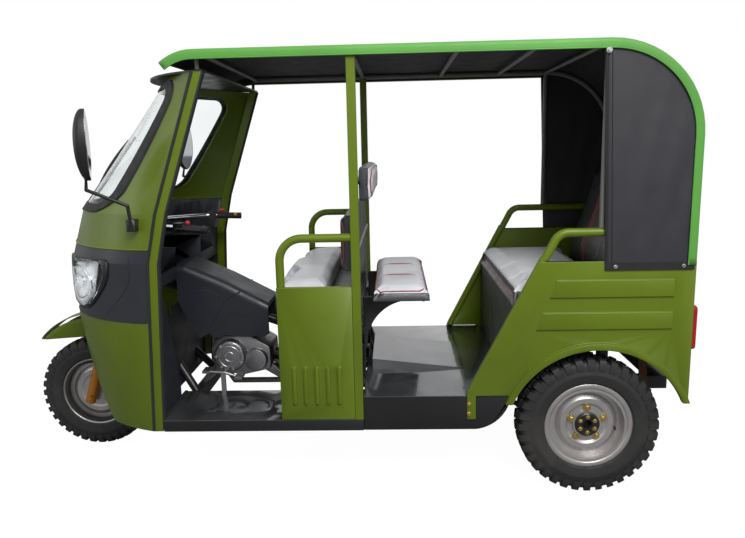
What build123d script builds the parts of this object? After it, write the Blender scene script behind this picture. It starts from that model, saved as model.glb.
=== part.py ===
from build123d import *
import os
from math import cos, radians, sin, sqrt
from typing import NamedTuple

# Passenger auto rickshaw: front towards +X, left towards +Y, tyres standing on Z = 0, millimetres

# Driving dimensions
WHEELBASE = 2260.0
REAR_OVERHANG = 420.0
HALF_WIDTH = 550.0
FRONT_TYRE_R = 270.0
FRONT_TYRE_W = 114.0
REAR_TYRE_R = 288.0
REAR_TYRE_W = 134.0
REAR_TRACK = 980.0
RIM_SEAT_R = 152.0
FRONT_FLOOR_Z = 328.0
DECK_Z = 424.0
SILL_BOTTOM_Z = 279.0
ROOF_Z = 1806.0
PANEL_TOP_Z = 972.0
SEAT_TOP_Z = 884.0
SHEET = 5.0
FLOOR_PLATE = 4.0
COWL_WALL = 5.0
FIT_GAP = 0.3
RUN_GAP = 0.2
CLEAR = 6.0
STEER_RAKE = 17.0
STEER_OFFSET = 48.0

# Derived layout
RIM_FLANGE_R = RIM_SEAT_R + 21.0
REAR_AXLE_X = (REAR_OVERHANG - WHEELBASE - FRONT_TYRE_R) / 2
FRONT_AXLE_X = REAR_AXLE_X + WHEELBASE
TAIL_X = REAR_AXLE_X - REAR_OVERHANG
FRONT_AXLE_Z = FRONT_TYRE_R
REAR_AXLE_Z = REAR_TYRE_R
REAR_WHEEL_Y = REAR_TRACK / 2
STEER_UP = Vector(-sin(radians(STEER_RAKE)), 0, cos(radians(STEER_RAKE)))
STEER_FWD = Vector(cos(radians(STEER_RAKE)), 0, sin(radians(STEER_RAKE)))
FRONT_AXLE = Vector(FRONT_AXLE_X, 0, FRONT_AXLE_Z)
STEER_FOOT = FRONT_AXLE - STEER_FWD * STEER_OFFSET

# Stations along the body
B_POST_SIZE = 35.0
B_POST_X = FRONT_AXLE_X - 1325.0
SEAT_PANEL_FRONT_X = B_POST_X + 320.0
DECK_FRONT_X = B_POST_X - 18.0
BENCH_RISER_X = REAR_AXLE_X + 306.0
BACK_X = TAIL_X + 30.0
TUNNEL_HALF = 225.0


class Section(NamedTuple):
    """One level of the cowl: height, rear edge and nose from the front axle, half width."""

    z: float
    rear: float
    nose: float
    half: float


COWL = {
    "foot": Section(280.0, -465.0, -60.0, HALF_WIDTH - 5.0),
    "waist": Section(720.0, -485.0, 2.0, HALF_WIDTH),
    "shoulder": Section(988.0, -497.0, 2.0, HALF_WIDTH),
    "scuttle": Section(1185.0, -540.0, -60.0, HALF_WIDTH - 4.0),
    "header": Section(ROOF_Z - 81.0, -720.0, -485.0, HALF_WIDTH - 18.0),
}
POST_DEPTH = 40.0
POST_WIDTH = 26.0
POST_FOOT_X = FRONT_AXLE_X + COWL["foot"].rear - POST_DEPTH


def side_plane(y):
    """Sketch plane across the body at width y, drawn as (X, Z) and extruding to the right."""
    return Plane(origin=(0, y, 0), x_dir=(1, 0, 0), z_dir=(0, -1, 0))


def front_plane(x):
    """Sketch plane at station x, drawn as (Y, Z) and extruding forward."""
    return Plane(origin=(x, 0, 0), x_dir=(0, 1, 0), z_dir=(1, 0, 0))


def wheel_plane(x, y, z):
    """Sketch plane through an axle, drawn as (width, radius)."""
    return Plane(origin=(x, y, z), x_dir=(0, 1, 0), z_dir=(1, 0, 0))


def cowl_between(low, high, z):
    """Cowl section at height z, straight between two listed sections."""
    t = (z - low.z) / (high.z - low.z)
    return Section(*(a + (b - a) * t for a, b in zip(low, high)))


def cowl_outline(section, inset=0.0, overrun=0.0):
    """Bow-shaped cowl outline, moved inward by inset and carried back by overrun."""
    rear = FRONT_AXLE_X + section.rear
    nose = FRONT_AXLE_X + section.nose
    depth = nose - rear
    radius = (section.half**2 + depth**2) / (2 * depth)
    centre = nose - radius
    inner = radius - inset
    half = sqrt(inner**2 - (rear - centre) ** 2)
    with BuildLine() as outline:
        ThreePointArc((rear, half), (centre + inner, 0), (rear, -half))
        if overrun:
            Polyline((rear, -half), (rear - overrun, -half), (rear - overrun, half), (rear, half))
        else:
            Line((rear, -half), (rear, half))
    make_face(outline.edges())


def cowl_fill(sections, inset=0.0, overrun=0.0, mode=Mode.ADD):
    """Solid of the cowl's shape through the sections, moved inward by inset."""
    levels = []
    for section in sections:
        with BuildSketch(Plane.XY.offset(section.z)) as level:
            cowl_outline(section, inset, overrun)
        levels.append(level.sketch)
    loft(levels, ruled=True, mode=mode)


def cowl_layer(low, high, outer, inner):
    """Cowl wall between two levels, from the outer inset to the inner inset."""
    cowl_fill((low, high), outer)
    cowl_fill((low, high), inner, 80.0, Mode.SUBTRACT)


def tube_run(points, radius):
    """Round bar through the points with ball joints at the bends."""
    for start, end in zip(points, points[1:]):
        a = Vector(*start)
        b = Vector(*end)
        with Locations(Plane(origin=a, z_dir=b - a)):
            Cylinder(radius, (b - a).length, align=(Align.CENTER, Align.CENTER, Align.MIN))
    for corner in points[1:-1]:
        with Locations(Vector(*corner)):
            Sphere(radius)


def bent_tube(plane, points, bend, radius):
    """Round tube swept along a flat path with rounded bends."""
    with BuildLine(plane) as path:
        FilletPolyline(*points, radius=bend)
    with BuildSketch(Plane(origin=path.line @ 0, z_dir=path.line % 0)) as ring:
        Circle(radius)
    sweep(ring.sketch, path=path.wires()[0])


def steer_point(up, forward=0.0, y=0.0):
    """Point beside the steering axis: distance up the axis, ahead of it and to the left."""
    return STEER_FOOT + STEER_UP * up + STEER_FWD * forward + Vector(0, y, 0)


def steer_plane(up, forward=0.0, y=0.0):
    """Sketch plane square to the steering axis, drawn as (ahead, left)."""
    return Plane(origin=steer_point(up, forward, y), x_dir=STEER_FWD, z_dir=STEER_UP)


def finish_part(builder, node):
    """Label one sub-part and write its file."""
    builder.part.label = node
    export_step(builder.part, f"parts/{node}.step")


os.makedirs("parts", exist_ok=True)

# Chassis: two stepped rails, cross members, steering head, down tubes and backbone
RAIL_Y = 300.0
RAIL_W = 40.0
RAIL_H = 56.0
RAIL_LOW_Z = FRONT_FLOOR_Z - FLOOR_PLATE - FIT_GAP - RAIL_H / 2
RAIL_HIGH_Z = DECK_Z - FLOOR_PLATE - FIT_GAP - RAIL_H / 2
RAIL_FRONT_X = POST_FOOT_X - 20.0
RAIL_REAR_X = BACK_X + 30.0
RAIL_STEP_X = DECK_FRONT_X - 15.0
TAIL_BEAM_D = 36.0
TOW_HOLE_R = 5.5
TOW_SPACING = 240.0
HEAD_R = 27.0
STEM_R = 14.0
HEAD_LOW_UP = 475.0
HEAD_HIGH_UP = 690.0
BACKBONE_R = 22.0
BACKBONE_END_X = SEAT_PANEL_FRONT_X + 36.0
BACKBONE_END_Z = 585.0
with BuildPart() as chassis:
    with BuildLine(side_plane(RAIL_Y)) as rail_path:
        FilletPolyline(
            (RAIL_REAR_X, RAIL_HIGH_Z),
            (RAIL_STEP_X - 165.0, RAIL_HIGH_Z),
            (RAIL_STEP_X, RAIL_LOW_Z),
            (RAIL_FRONT_X, RAIL_LOW_Z),
            radius=60.0,
        )
    with BuildSketch(front_plane(RAIL_REAR_X)):
        with Locations((RAIL_Y, RAIL_HIGH_Z)):
            Rectangle(RAIL_W, RAIL_H)
    sweep(path=rail_path.wires()[0])
    mirror(about=Plane.XZ)
    for x, z, depth, height in (
        (RAIL_FRONT_X - 20.0, RAIL_LOW_Z, 40.0, RAIL_H),
        (BACKBONE_END_X, RAIL_LOW_Z, 44.0, RAIL_H),
        (RAIL_STEP_X - 282.0, RAIL_HIGH_Z + 14.0, 40.0, RAIL_H / 2),
        (BENCH_RISER_X + 34.0, RAIL_HIGH_Z + 14.0, 40.0, RAIL_H / 2),
        (RAIL_REAR_X - TAIL_BEAM_D / 2, RAIL_HIGH_Z, TAIL_BEAM_D, RAIL_H),
    ):
        with Locations((x, 0, z)):
            Box(depth, 2 * RAIL_Y + RAIL_W, height)
    with BuildSketch(front_plane(RAIL_REAR_X - TAIL_BEAM_D)):
        with Locations((-TOW_SPACING / 2, RAIL_HIGH_Z), (TOW_SPACING / 2, RAIL_HIGH_Z)):
            Circle(TOW_HOLE_R)
    extrude(amount=TAIL_BEAM_D, mode=Mode.SUBTRACT)
    backbone_end = (BACKBONE_END_X, 0.0, BACKBONE_END_Z)
    tube_run((tuple(steer_point(HEAD_HIGH_UP - 60.0)), backbone_end), BACKBONE_R)
    with Locations(backbone_end):
        Sphere(BACKBONE_R)
    for side in (-1, 1):
        tube_run((backbone_end, (BACKBONE_END_X, side * 165.0, RAIL_LOW_Z)), BACKBONE_R - 4.0)
        low = (RAIL_FRONT_X - 20.0, side * 170.0, RAIL_LOW_Z + 10.0)
        tube_run((tuple(steer_point(HEAD_LOW_UP + 60.0)), low), 19.0)
    with BuildSketch(steer_plane(HEAD_LOW_UP)):
        Circle(HEAD_R)
    extrude(amount=HEAD_HIGH_UP - HEAD_LOW_UP)
    with BuildSketch(steer_plane(HEAD_LOW_UP - 1.0)):
        Circle(STEM_R + RUN_GAP)
    extrude(amount=HEAD_HIGH_UP - HEAD_LOW_UP + 2.0, mode=Mode.SUBTRACT)
finish_part(chassis, "chassis")

# Front footboards with side sills, open in the middle round the engine
SILL_W = 30.0
FOOT_INNER_Y = 200.0
FOOT_FRONT_X = POST_FOOT_X - 4.0
with BuildPart() as front_floor:
    with BuildSketch(front_plane(DECK_FRONT_X + FIT_GAP)):
        with BuildLine():
            Polyline(
                (FOOT_INNER_Y, FRONT_FLOOR_Z),
                (HALF_WIDTH, FRONT_FLOOR_Z),
                (HALF_WIDTH, SILL_BOTTOM_Z),
                (HALF_WIDTH - SILL_W, SILL_BOTTOM_Z),
                (HALF_WIDTH - SILL_W, FRONT_FLOOR_Z - FLOOR_PLATE),
                (FOOT_INNER_Y, FRONT_FLOOR_Z - FLOOR_PLATE),
                close=True,
            )
        make_face()
    extrude(amount=FOOT_FRONT_X - DECK_FRONT_X - FIT_GAP)
    mirror(about=Plane.XZ)
finish_part(front_floor, "front_floor")

# Rear deck plate with its riser and rounded side skirts
SKIRT_Y = HALF_WIDTH - SHEET - FIT_GAP
SKIRT_CURVE = 140.0
SKIRT_REAR_X = BENCH_RISER_X + 10.0
with BuildPart() as deck:
    with BuildSketch(Plane.XY.offset(DECK_Z - FLOOR_PLATE)):
        with Locations(((DECK_FRONT_X + BENCH_RISER_X) / 2, 0)):
            Rectangle(DECK_FRONT_X - BENCH_RISER_X, 2 * SKIRT_Y)
    extrude(amount=FLOOR_PLATE)
    with BuildSketch(side_plane(SKIRT_Y)):
        with BuildLine():
            Polyline(
                (SKIRT_REAR_X, DECK_Z),
                (DECK_FRONT_X, DECK_Z),
                (DECK_FRONT_X, SILL_BOTTOM_Z),
                (SKIRT_REAR_X + SKIRT_CURVE, SILL_BOTTOM_Z),
            )
            RadiusArc(
                (SKIRT_REAR_X + SKIRT_CURVE, SILL_BOTTOM_Z),
                (SKIRT_REAR_X, DECK_Z),
                160.0,
            )
        make_face()
    extrude(amount=SHEET)
    with BuildSketch(side_plane(-SKIRT_Y + SHEET)):
        with BuildLine():
            Polyline(
                (SKIRT_REAR_X, DECK_Z),
                (DECK_FRONT_X, DECK_Z),
                (DECK_FRONT_X, SILL_BOTTOM_Z),
                (SKIRT_REAR_X + SKIRT_CURVE, SILL_BOTTOM_Z),
            )
            RadiusArc(
                (SKIRT_REAR_X + SKIRT_CURVE, SILL_BOTTOM_Z),
                (SKIRT_REAR_X, DECK_Z),
                160.0,
            )
        make_face()
    extrude(amount=SHEET)
    with Locations((DECK_FRONT_X - SHEET / 2, 0, (DECK_Z + FRONT_FLOOR_Z) / 2)):
        Box(SHEET, 2 * SKIRT_Y, DECK_Z - FRONT_FLOOR_Z)
    with Locations((DECK_FRONT_X - SHEET / 2, 0, DECK_Z - FLOOR_PLATE - 100.0)):
        Box(3 * SHEET, 2 * TUNNEL_HALF, 200.0, mode=Mode.SUBTRACT)
finish_part(deck, "deck")

# Ramp over the gearbox in the middle of the deck
RAMP_HALF = 200.0
RAMP_RISE = 50.0
RAMP_FRONT_X = DECK_FRONT_X - 28.0
RAMP_LENGTH = 0.687 * (DECK_FRONT_X - BENCH_RISER_X)
with BuildPart() as ramp:
    with BuildSketch(side_plane(0)):
        with BuildLine():
            Polyline(
                (RAMP_FRONT_X, DECK_Z),
                (RAMP_FRONT_X, DECK_Z + RAMP_RISE),
                (RAMP_FRONT_X - RAMP_LENGTH, DECK_Z + 2.0),
                (RAMP_FRONT_X - RAMP_LENGTH, DECK_Z),
                close=True,
            )
        make_face()
    extrude(amount=RAMP_HALF, both=True)
finish_part(ramp, "deck_ramp")

# Lower leg shields, parted by the opening for the steered wheel
ARCH_TOP_HALF = 236.0
ARCH_MID = (318.0, 505.0)
ARCH_FOOT_HALF = 428.0
with BuildPart() as cowl_lower:
    cowl_layer(COWL["foot"], COWL["waist"], 0.0, COWL_WALL)
    with BuildSketch(front_plane(FRONT_AXLE_X - 480.0)):
        with BuildLine():
            Line((-ARCH_FOOT_HALF, 270.0), (ARCH_FOOT_HALF, 270.0))
            ThreePointArc((ARCH_FOOT_HALF, 270.0), ARCH_MID, (ARCH_TOP_HALF, 730.0))
            Line((ARCH_TOP_HALF, 730.0), (-ARCH_TOP_HALF, 730.0))
            ThreePointArc((-ARCH_TOP_HALF, 730.0), (-ARCH_MID[0], ARCH_MID[1]), (-ARCH_FOOT_HALF, 270.0))
        make_face()
    extrude(amount=600.0, mode=Mode.SUBTRACT)
finish_part(cowl_lower, "cowl_lower")


def lamp_outline(growth):
    """Shield-shaped headlamp outline on the left front corner, seen from the front."""
    with BuildLine() as outline:
        Polyline((142.0, 775.0), (142.0, 930.0), (172.0, 966.0), (380.0, 966.0), (388.0, 905.0))
        ThreePointArc((388.0, 905.0), (340.0, 806.0), (248.0, 742.0))
        Line((248.0, 742.0), (142.0, 775.0))
    make_face(outline.edges())
    if growth:
        offset(amount=growth, kind=Kind.INTERSECTION)
    mirror(about=Plane.YZ)


# Dark middle panel of the nose with headlamp openings
with BuildPart() as cowl_middle:
    cowl_layer(COWL["waist"], COWL["shoulder"], 0.0, COWL_WALL)
    with BuildSketch(front_plane(FRONT_AXLE_X - 400.0)):
        lamp_outline(0.6)
    extrude(amount=500.0, mode=Mode.SUBTRACT)
finish_part(cowl_middle, "cowl_middle")

# Headlamp lenses and the reflector buckets behind them
with BuildPart() as headlamps:
    cowl_layer(COWL["waist"], COWL["shoulder"], -6.0, 3.0)
    with BuildSketch(front_plane(FRONT_AXLE_X - 400.0)):
        lamp_outline(0.0)
    extrude(amount=500.0, mode=Mode.INTERSECT)
finish_part(headlamps, "headlamps")
with BuildPart() as lamp_buckets:
    cowl_layer(COWL["waist"], COWL["shoulder"], 3.0 + FIT_GAP, 60.0)
    with BuildSketch(front_plane(FRONT_AXLE_X - 400.0)):
        lamp_outline(0.0)
    extrude(amount=500.0, mode=Mode.INTERSECT)
finish_part(lamp_buckets, "lamp_buckets")

# Upper cowl: scuttle band, screen pillars and header
SCREEN_BOTTOM_Z = 1208.0
SCREEN_TOP_Z = ROOF_Z - 114.0
SCREEN_HALF = HALF_WIDTH - 88.0
SCREEN_CORNER = 75.0
SCREEN_REAR_X = FRONT_AXLE_X - 640.0


def screen_outline(growth):
    """Screen opening seen from the front."""
    with Locations((0, (SCREEN_BOTTOM_Z + SCREEN_TOP_Z) / 2)):
        RectangleRounded(
            2 * (SCREEN_HALF + growth),
            SCREEN_TOP_Z - SCREEN_BOTTOM_Z + 2 * growth,
            SCREEN_CORNER + growth,
        )


with BuildPart() as cowl_upper:
    cowl_layer(COWL["shoulder"], COWL["scuttle"], 0.0, COWL_WALL)
    cowl_layer(COWL["scuttle"], COWL["header"], 0.0, COWL_WALL)
    with BuildSketch(front_plane(SCREEN_REAR_X)):
        screen_outline(0.0)
    extrude(amount=800.0, mode=Mode.SUBTRACT)
finish_part(cowl_upper, "cowl_upper")

# Screen glass in the opening and the rubber seal over the joint
with BuildPart() as screen:
    cowl_layer(COWL["scuttle"], COWL["header"], 0.0, COWL_WALL)
    with BuildSketch(front_plane(SCREEN_REAR_X)):
        screen_outline(-0.6)
    extrude(amount=800.0, mode=Mode.INTERSECT)
finish_part(screen, "screen")
SEAL_PROUD = 7.0
with BuildPart() as screen_seal:
    cowl_layer(COWL["scuttle"], COWL["header"], -SEAL_PROUD, -FIT_GAP)
    with BuildSketch(front_plane(SCREEN_REAR_X)):
        screen_outline(20.0)
    extrude(amount=800.0, mode=Mode.INTERSECT)
    with BuildSketch(front_plane(SCREEN_REAR_X)):
        screen_outline(-12.0)
    extrude(amount=800.0, mode=Mode.SUBTRACT)
finish_part(screen_seal, "screen_seal")

# Door posts behind the cowl edge, from the sill to the header
with BuildPart() as door_posts:
    for section in COWL.values():
        with BuildSketch(Plane.XY.offset(section.z)):
            x = FRONT_AXLE_X + section.rear - POST_DEPTH / 2
            with Locations((x, section.half - POST_WIDTH / 2)):
                Rectangle(POST_DEPTH, POST_WIDTH)
    loft(ruled=True)
    mirror(about=Plane.XZ)
finish_part(door_posts, "door_posts")

# Header board: closes the cab top and stands out as a rain visor
VISOR_T = 8.0
VISOR_OVERHANG = 78.0
with BuildPart() as visor:
    head = COWL["header"]
    with BuildSketch(Plane.XY.offset(head.z + FIT_GAP)):
        cowl_outline(Section(head.z, head.rear - POST_DEPTH, head.nose + VISOR_OVERHANG, head.half))
    extrude(amount=VISOR_T)
finish_part(visor, "visor")

# Fascia: lining under the screen, shelf and two open trays, parted for the steering
SHELF_Z = 1000.0
LINER_TOP_Z = 1168.0
SHELF_REAR_X = FRONT_AXLE_X - 275.0
STEER_BAY_HALF = 200.0
STEER_BAY_FRONT_X = FRONT_AXLE_X - 90.0
TRAY_REAR_X = FRONT_AXLE_X - 490.0
TRAY_BOTTOM_Z = 860.0
TRAY_LIP_Z = 925.0
TRAY_OUTER_Y = HALF_WIDTH - 98.0
TRAY_WALL = 6.0
SHELF_T = 8.0
with BuildPart() as fascia:
    low = cowl_between(COWL["waist"], COWL["shoulder"], TRAY_BOTTOM_Z)
    shelf = cowl_between(COWL["shoulder"], COWL["scuttle"], SHELF_Z + SHELF_T)
    high = cowl_between(COWL["shoulder"], COWL["scuttle"], LINER_TOP_Z)
    above = cowl_between(COWL["shoulder"], COWL["scuttle"], LINER_TOP_Z + 10.0)
    cowl_fill((low, COWL["shoulder"], high), 9.0)
    cowl_fill((shelf, above), 21.0, 80.0, Mode.SUBTRACT)
    under_front = SHELF_REAR_X + TRAY_WALL
    with Locations((under_front + 300.0, 0, SHELF_Z - 200.0)):
        Box(600.0, 1400.0, 400.0, mode=Mode.SUBTRACT)
    with Locations((STEER_BAY_FRONT_X - 400.0, 0, SHELF_Z)):
        Box(800.0, 2 * STEER_BAY_HALF, 300.0, mode=Mode.SUBTRACT)
    tray_y = (STEER_BAY_HALF + TRAY_OUTER_Y) / 2
    tray_w = TRAY_OUTER_Y - STEER_BAY_HALF
    for side in (-1, 1):
        with Locations(((TRAY_REAR_X + SHELF_REAR_X) / 2, side * tray_y, TRAY_BOTTOM_Z + TRAY_WALL + 100.0)):
            Box(SHELF_REAR_X - TRAY_REAR_X - 2 * TRAY_WALL, tray_w - 2 * TRAY_WALL, 200.0, mode=Mode.SUBTRACT)
        with Locations((TRAY_REAR_X, side * tray_y, TRAY_LIP_Z + 100.0)):
            Box(60.0, tray_w - 2 * TRAY_WALL, 200.0, mode=Mode.SUBTRACT)
finish_part(fascia, "fascia")

# Inner leg panels between the door posts and the steering
LEG_PANEL_TOP_Z = 800.0
with BuildPart() as leg_panels:
    outer_y = COWL["foot"].half - POST_WIDTH - FIT_GAP
    with BuildSketch(front_plane(POST_FOOT_X + 6.0)):
        with BuildLine():
            Polyline(
                (outer_y, FRONT_FLOOR_Z + 2.0),
                (outer_y, LEG_PANEL_TOP_Z),
                (outer_y - 129.0, LEG_PANEL_TOP_Z),
                (270.0, FRONT_FLOOR_Z + 60.0),
                (270.0, FRONT_FLOOR_Z + 2.0),
                close=True,
            )
        make_face()
    extrude(amount=8.0)
    mirror(about=Plane.XZ)
finish_part(leg_panels, "leg_panels")

# Centre fairing over backbone and cylinder, open below
FAIRING_HALF = 138.0
FAIRING_WALL = 4.0
FAIRING_FRONT_X = FRONT_AXLE_X - 470.0
FAIRING_REAR_X = FRONT_AXLE_X - 888.0
# Saddles of the fairing on the backbone: station, foot, head
SADDLES = ((FAIRING_REAR_X + 130.0, 665.0, 782.0), (FAIRING_FRONT_X - 70.0, 745.0, 888.0))
with BuildPart() as fairing:
    with BuildSketch(side_plane(0)):
        with BuildLine():
            Polyline(
                (FAIRING_REAR_X, 725.0),
                (FAIRING_REAR_X + 200.0, 832.0),
                (FAIRING_FRONT_X - 40.0, 912.0),
                (FAIRING_FRONT_X, 916.0),
                (FAIRING_FRONT_X, 740.0),
                (FAIRING_FRONT_X - 90.0, 562.0),
                (FAIRING_FRONT_X - 172.0, 605.0),
                (FAIRING_FRONT_X - 250.0, 690.0),
                (FAIRING_REAR_X + 90.0, 660.0),
                (FAIRING_REAR_X + 40.0, 560.0),
                (FAIRING_REAR_X, 580.0),
                close=True,
            )
        make_face()
    extrude(amount=FAIRING_HALF, both=True)
    top_edges = fairing.edges().filter_by(lambda e: e.center().Z > 770.0 and abs(e.center().Y) > 100.0)
    fillet(top_edges.filter_by(lambda e: abs((e % 0.5).Z) < 0.7), 34.0)
    with BuildSketch(side_plane(0)):
        with BuildLine():
            Polyline(
                (FAIRING_REAR_X - 1.0, 500.0),
                (FAIRING_REAR_X - 1.0, 702.0),
                (FAIRING_REAR_X + 202.0, 808.0),
                (FAIRING_FRONT_X - 38.0, 886.0),
                (FAIRING_FRONT_X - FAIRING_WALL, 890.0),
                (FAIRING_FRONT_X - FAIRING_WALL, 500.0),
                close=True,
            )
        make_face()
    extrude(amount=FAIRING_HALF - 10.0, both=True, mode=Mode.SUBTRACT)
    with Locations((FAIRING_FRONT_X, 0, 720.0)):
        Box(40.0, 2 * FAIRING_HALF - 24.0, 340.0, mode=Mode.SUBTRACT)
    for x, low, high in SADDLES:
        with Locations((x, 0, (low + high) / 2)):
            Box(26.0, 36.0, high - low)
    backbone_front = steer_point(HEAD_HIGH_UP - 60.0)
    backbone_run = Vector(*backbone_end) - backbone_front
    with Locations(Plane(origin=backbone_front, z_dir=backbone_run)):
        Cylinder(
            BACKBONE_R + FIT_GAP,
            backbone_run.length,
            align=(Align.CENTER, Align.CENTER, Align.MIN),
            mode=Mode.SUBTRACT,
        )
finish_part(fairing, "fairing")

# Engine: crankcase, round side covers, finned cylinder and carburettor
CRANK_X = FRONT_AXLE_X - 698.0
CRANK_Z = 475.0
CASE_HALF = 105.0
FOOT_Y = 85.0
FOOT_T = 20.0
FIN_HALF = 61.0
with BuildPart() as engine:
    with BuildSketch(side_plane(0)):
        with BuildLine():
            Polyline(
                (CRANK_X - 185.0, 400.0),
                (CRANK_X - 185.0, 505.0),
                (CRANK_X - 95.0, 560.0),
                (CRANK_X + 60.0, 565.0),
                (CRANK_X + 98.0, 500.0),
                (CRANK_X + 80.0, 385.0),
                (CRANK_X - 60.0, 372.0),
                close=True,
            )
        make_face()
        fillet(vertices(), 22.0)
    extrude(amount=CASE_HALF, both=True)
    with BuildSketch(side_plane(CASE_HALF + 48.0)):
        with Locations((CRANK_X, CRANK_Z)):
            Circle(74.0)
    extrude(amount=48.0)
    fillet(engine.faces().sort_by(Axis.Y)[-1].edges(), 12.0)
    with BuildSketch(side_plane(CASE_HALF + 28.0)):
        with Locations((CRANK_X - 118.0, CRANK_Z - 25.0)):
            Circle(52.0)
    extrude(amount=28.0)
    with BuildSketch(side_plane(-CASE_HALF)):
        with Locations((CRANK_X - 20.0, CRANK_Z - 10.0)):
            SlotCenterToCenter(96.0, 130.0)
    extrude(amount=44.0)
    barrel = Plane(
        origin=(CRANK_X + 5.0, 0, 556.0),
        x_dir=(cos(radians(15)), 0, -sin(radians(15))),
        z_dir=(sin(radians(15)), 0, cos(radians(15))),
    )
    with BuildSketch(barrel):
        RectangleRounded(92.0, 100.0, 20.0)
    extrude(amount=84.0)
    for level in range(5):
        with BuildSketch(barrel.offset(12.0 + 14.0 * level)):
            RectangleRounded(2 * FIN_HALF, 132.0, 24.0)
        extrude(amount=5.0)
    tube_run(((CRANK_X - 40.0, 20.0, 606.0), (CRANK_X - 110.0, 64.0, 612.0)), 16.0)
    with Locations((CRANK_X - 126.0, 66.0, 612.0)):
        Box(52.0, 56.0, 70.0)
    for beam_x, beam_half, case_x in (
        (BACKBONE_END_X, 18.0, CRANK_X - 150.0),
        (RAIL_FRONT_X - 20.0, -16.0, CRANK_X + 60.0),
    ):
        for foot_y in (FOOT_Y, -FOOT_Y + FOOT_T):
            with BuildSketch(side_plane(foot_y)):
                with BuildLine():
                    Polyline(
                        (beam_x - beam_half, RAIL_LOW_Z + RAIL_H / 2 + FIT_GAP),
                        (beam_x + beam_half, RAIL_LOW_Z + RAIL_H / 2 + FIT_GAP),
                        (case_x + beam_half, 400.0),
                        (case_x - beam_half, 440.0),
                        close=True,
                    )
                make_face()
            extrude(amount=FOOT_T)
finish_part(engine, "engine")

# Exhaust pipe and silencer under the floor
MUFFLER_X = CRANK_X - 802.0
MUFFLER_L = 370.0
MUFFLER_Y = -165.0
MUFFLER_Z = 248.0
with BuildPart() as exhaust:
    port = barrel.from_local_coords((FIN_HALF + FIT_GAP, -20.0, 45.0))
    with Locations(Plane(origin=port, z_dir=barrel.x_dir)):
        Cylinder(22.0, 8.0, align=(Align.CENTER, Align.CENTER, Align.MIN))
    tube_run(
        (
            tuple(port + barrel.x_dir * 4.0),
            tuple(port + barrel.x_dir * 20.0),
            (CRANK_X + 116.0, -60.0, 570.0),
            (CRANK_X + 116.0, -160.0, 340.0),
            (CRANK_X + 60.0, MUFFLER_Y, MUFFLER_Z),
            (MUFFLER_X + MUFFLER_L - 10.0, MUFFLER_Y, MUFFLER_Z),
        ),
        14.0,
    )
    with BuildSketch(front_plane(MUFFLER_X)):
        with Locations((MUFFLER_Y, MUFFLER_Z)):
            Circle(44.0)
    extrude(amount=MUFFLER_L)
    fillet(exhaust.edges().filter_by(GeomType.CIRCLE).filter_by(lambda e: e.radius > 40.0), 14.0)
    tube_run(
        ((MUFFLER_X + 5.0, MUFFLER_Y, MUFFLER_Z), (MUFFLER_X - 100.0, MUFFLER_Y, MUFFLER_Z - 25.0)),
        11.0,
    )
finish_part(exhaust, "exhaust")

# Foot controls: rocker gear lever on the left, brake pedal on the right
PEDAL_Y = 250.0
with BuildPart() as pedals:
    tube_run(
        ((CRANK_X - 60.0, PEDAL_Y, 410.0), (CRANK_X, PEDAL_Y, 432.0), (CRANK_X + 70.0, PEDAL_Y, 436.0)),
        7.0,
    )
    tube_run(((CRANK_X, PEDAL_Y + 2.0, 432.0), (CRANK_X, CASE_HALF + 48.0 + 4.0, 432.0)), 8.0)
    with Locations((CRANK_X + 78.0, PEDAL_Y, 444.0), (CRANK_X - 68.0, PEDAL_Y, 416.0)):
        Box(34.0, 62.0, 12.0)
    with Locations((CRANK_X + 5.0, PEDAL_Y + 9.0, (432.0 + FRONT_FLOOR_Z + FIT_GAP) / 2)):
        Box(20.0, 12.0, 432.0 - FRONT_FLOOR_Z - FIT_GAP)
    tube_run(
        (
            (CRANK_X - 20.0, -PEDAL_Y, FRONT_FLOOR_Z + 9.0),
            (CRANK_X + 60.0, -PEDAL_Y, FRONT_FLOOR_Z + 20.0),
            (CRANK_X + 150.0, -PEDAL_Y, FRONT_FLOOR_Z + 105.0),
        ),
        8.0,
    )
    with Locations((CRANK_X - 14.0, -PEDAL_Y, FRONT_FLOOR_Z + FIT_GAP + 8.0)):
        Box(30.0, 40.0, 16.0)
    with Locations((CRANK_X + 156.0, -PEDAL_Y, FRONT_FLOOR_Z + 112.0)):
        Box(26.0, 80.0, 50.0)
finish_part(pedals, "pedals")

# B posts from the sill to the roof rails
ROOF_SHEET = 4.0
ROOF_RAIL_R = 12.5
ROOF_RAIL_Y = HALF_WIDTH - 20.0
ROOF_RAIL_Z = ROOF_Z - ROOF_SHEET - FIT_GAP - ROOF_RAIL_R
POST_TOP_Z = ROOF_RAIL_Z - ROOF_RAIL_R - FIT_GAP
with BuildPart() as b_posts:
    with BuildSketch(Plane.XY.offset(FRONT_FLOOR_Z + FIT_GAP)):
        with Locations((B_POST_X, HALF_WIDTH - B_POST_SIZE / 2)):
            RectangleRounded(B_POST_SIZE, B_POST_SIZE, 4.0)
    extrude(amount=POST_TOP_Z - FRONT_FLOOR_Z - FIT_GAP)
    mirror(about=Plane.XZ)
finish_part(b_posts, "b_posts")

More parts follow.
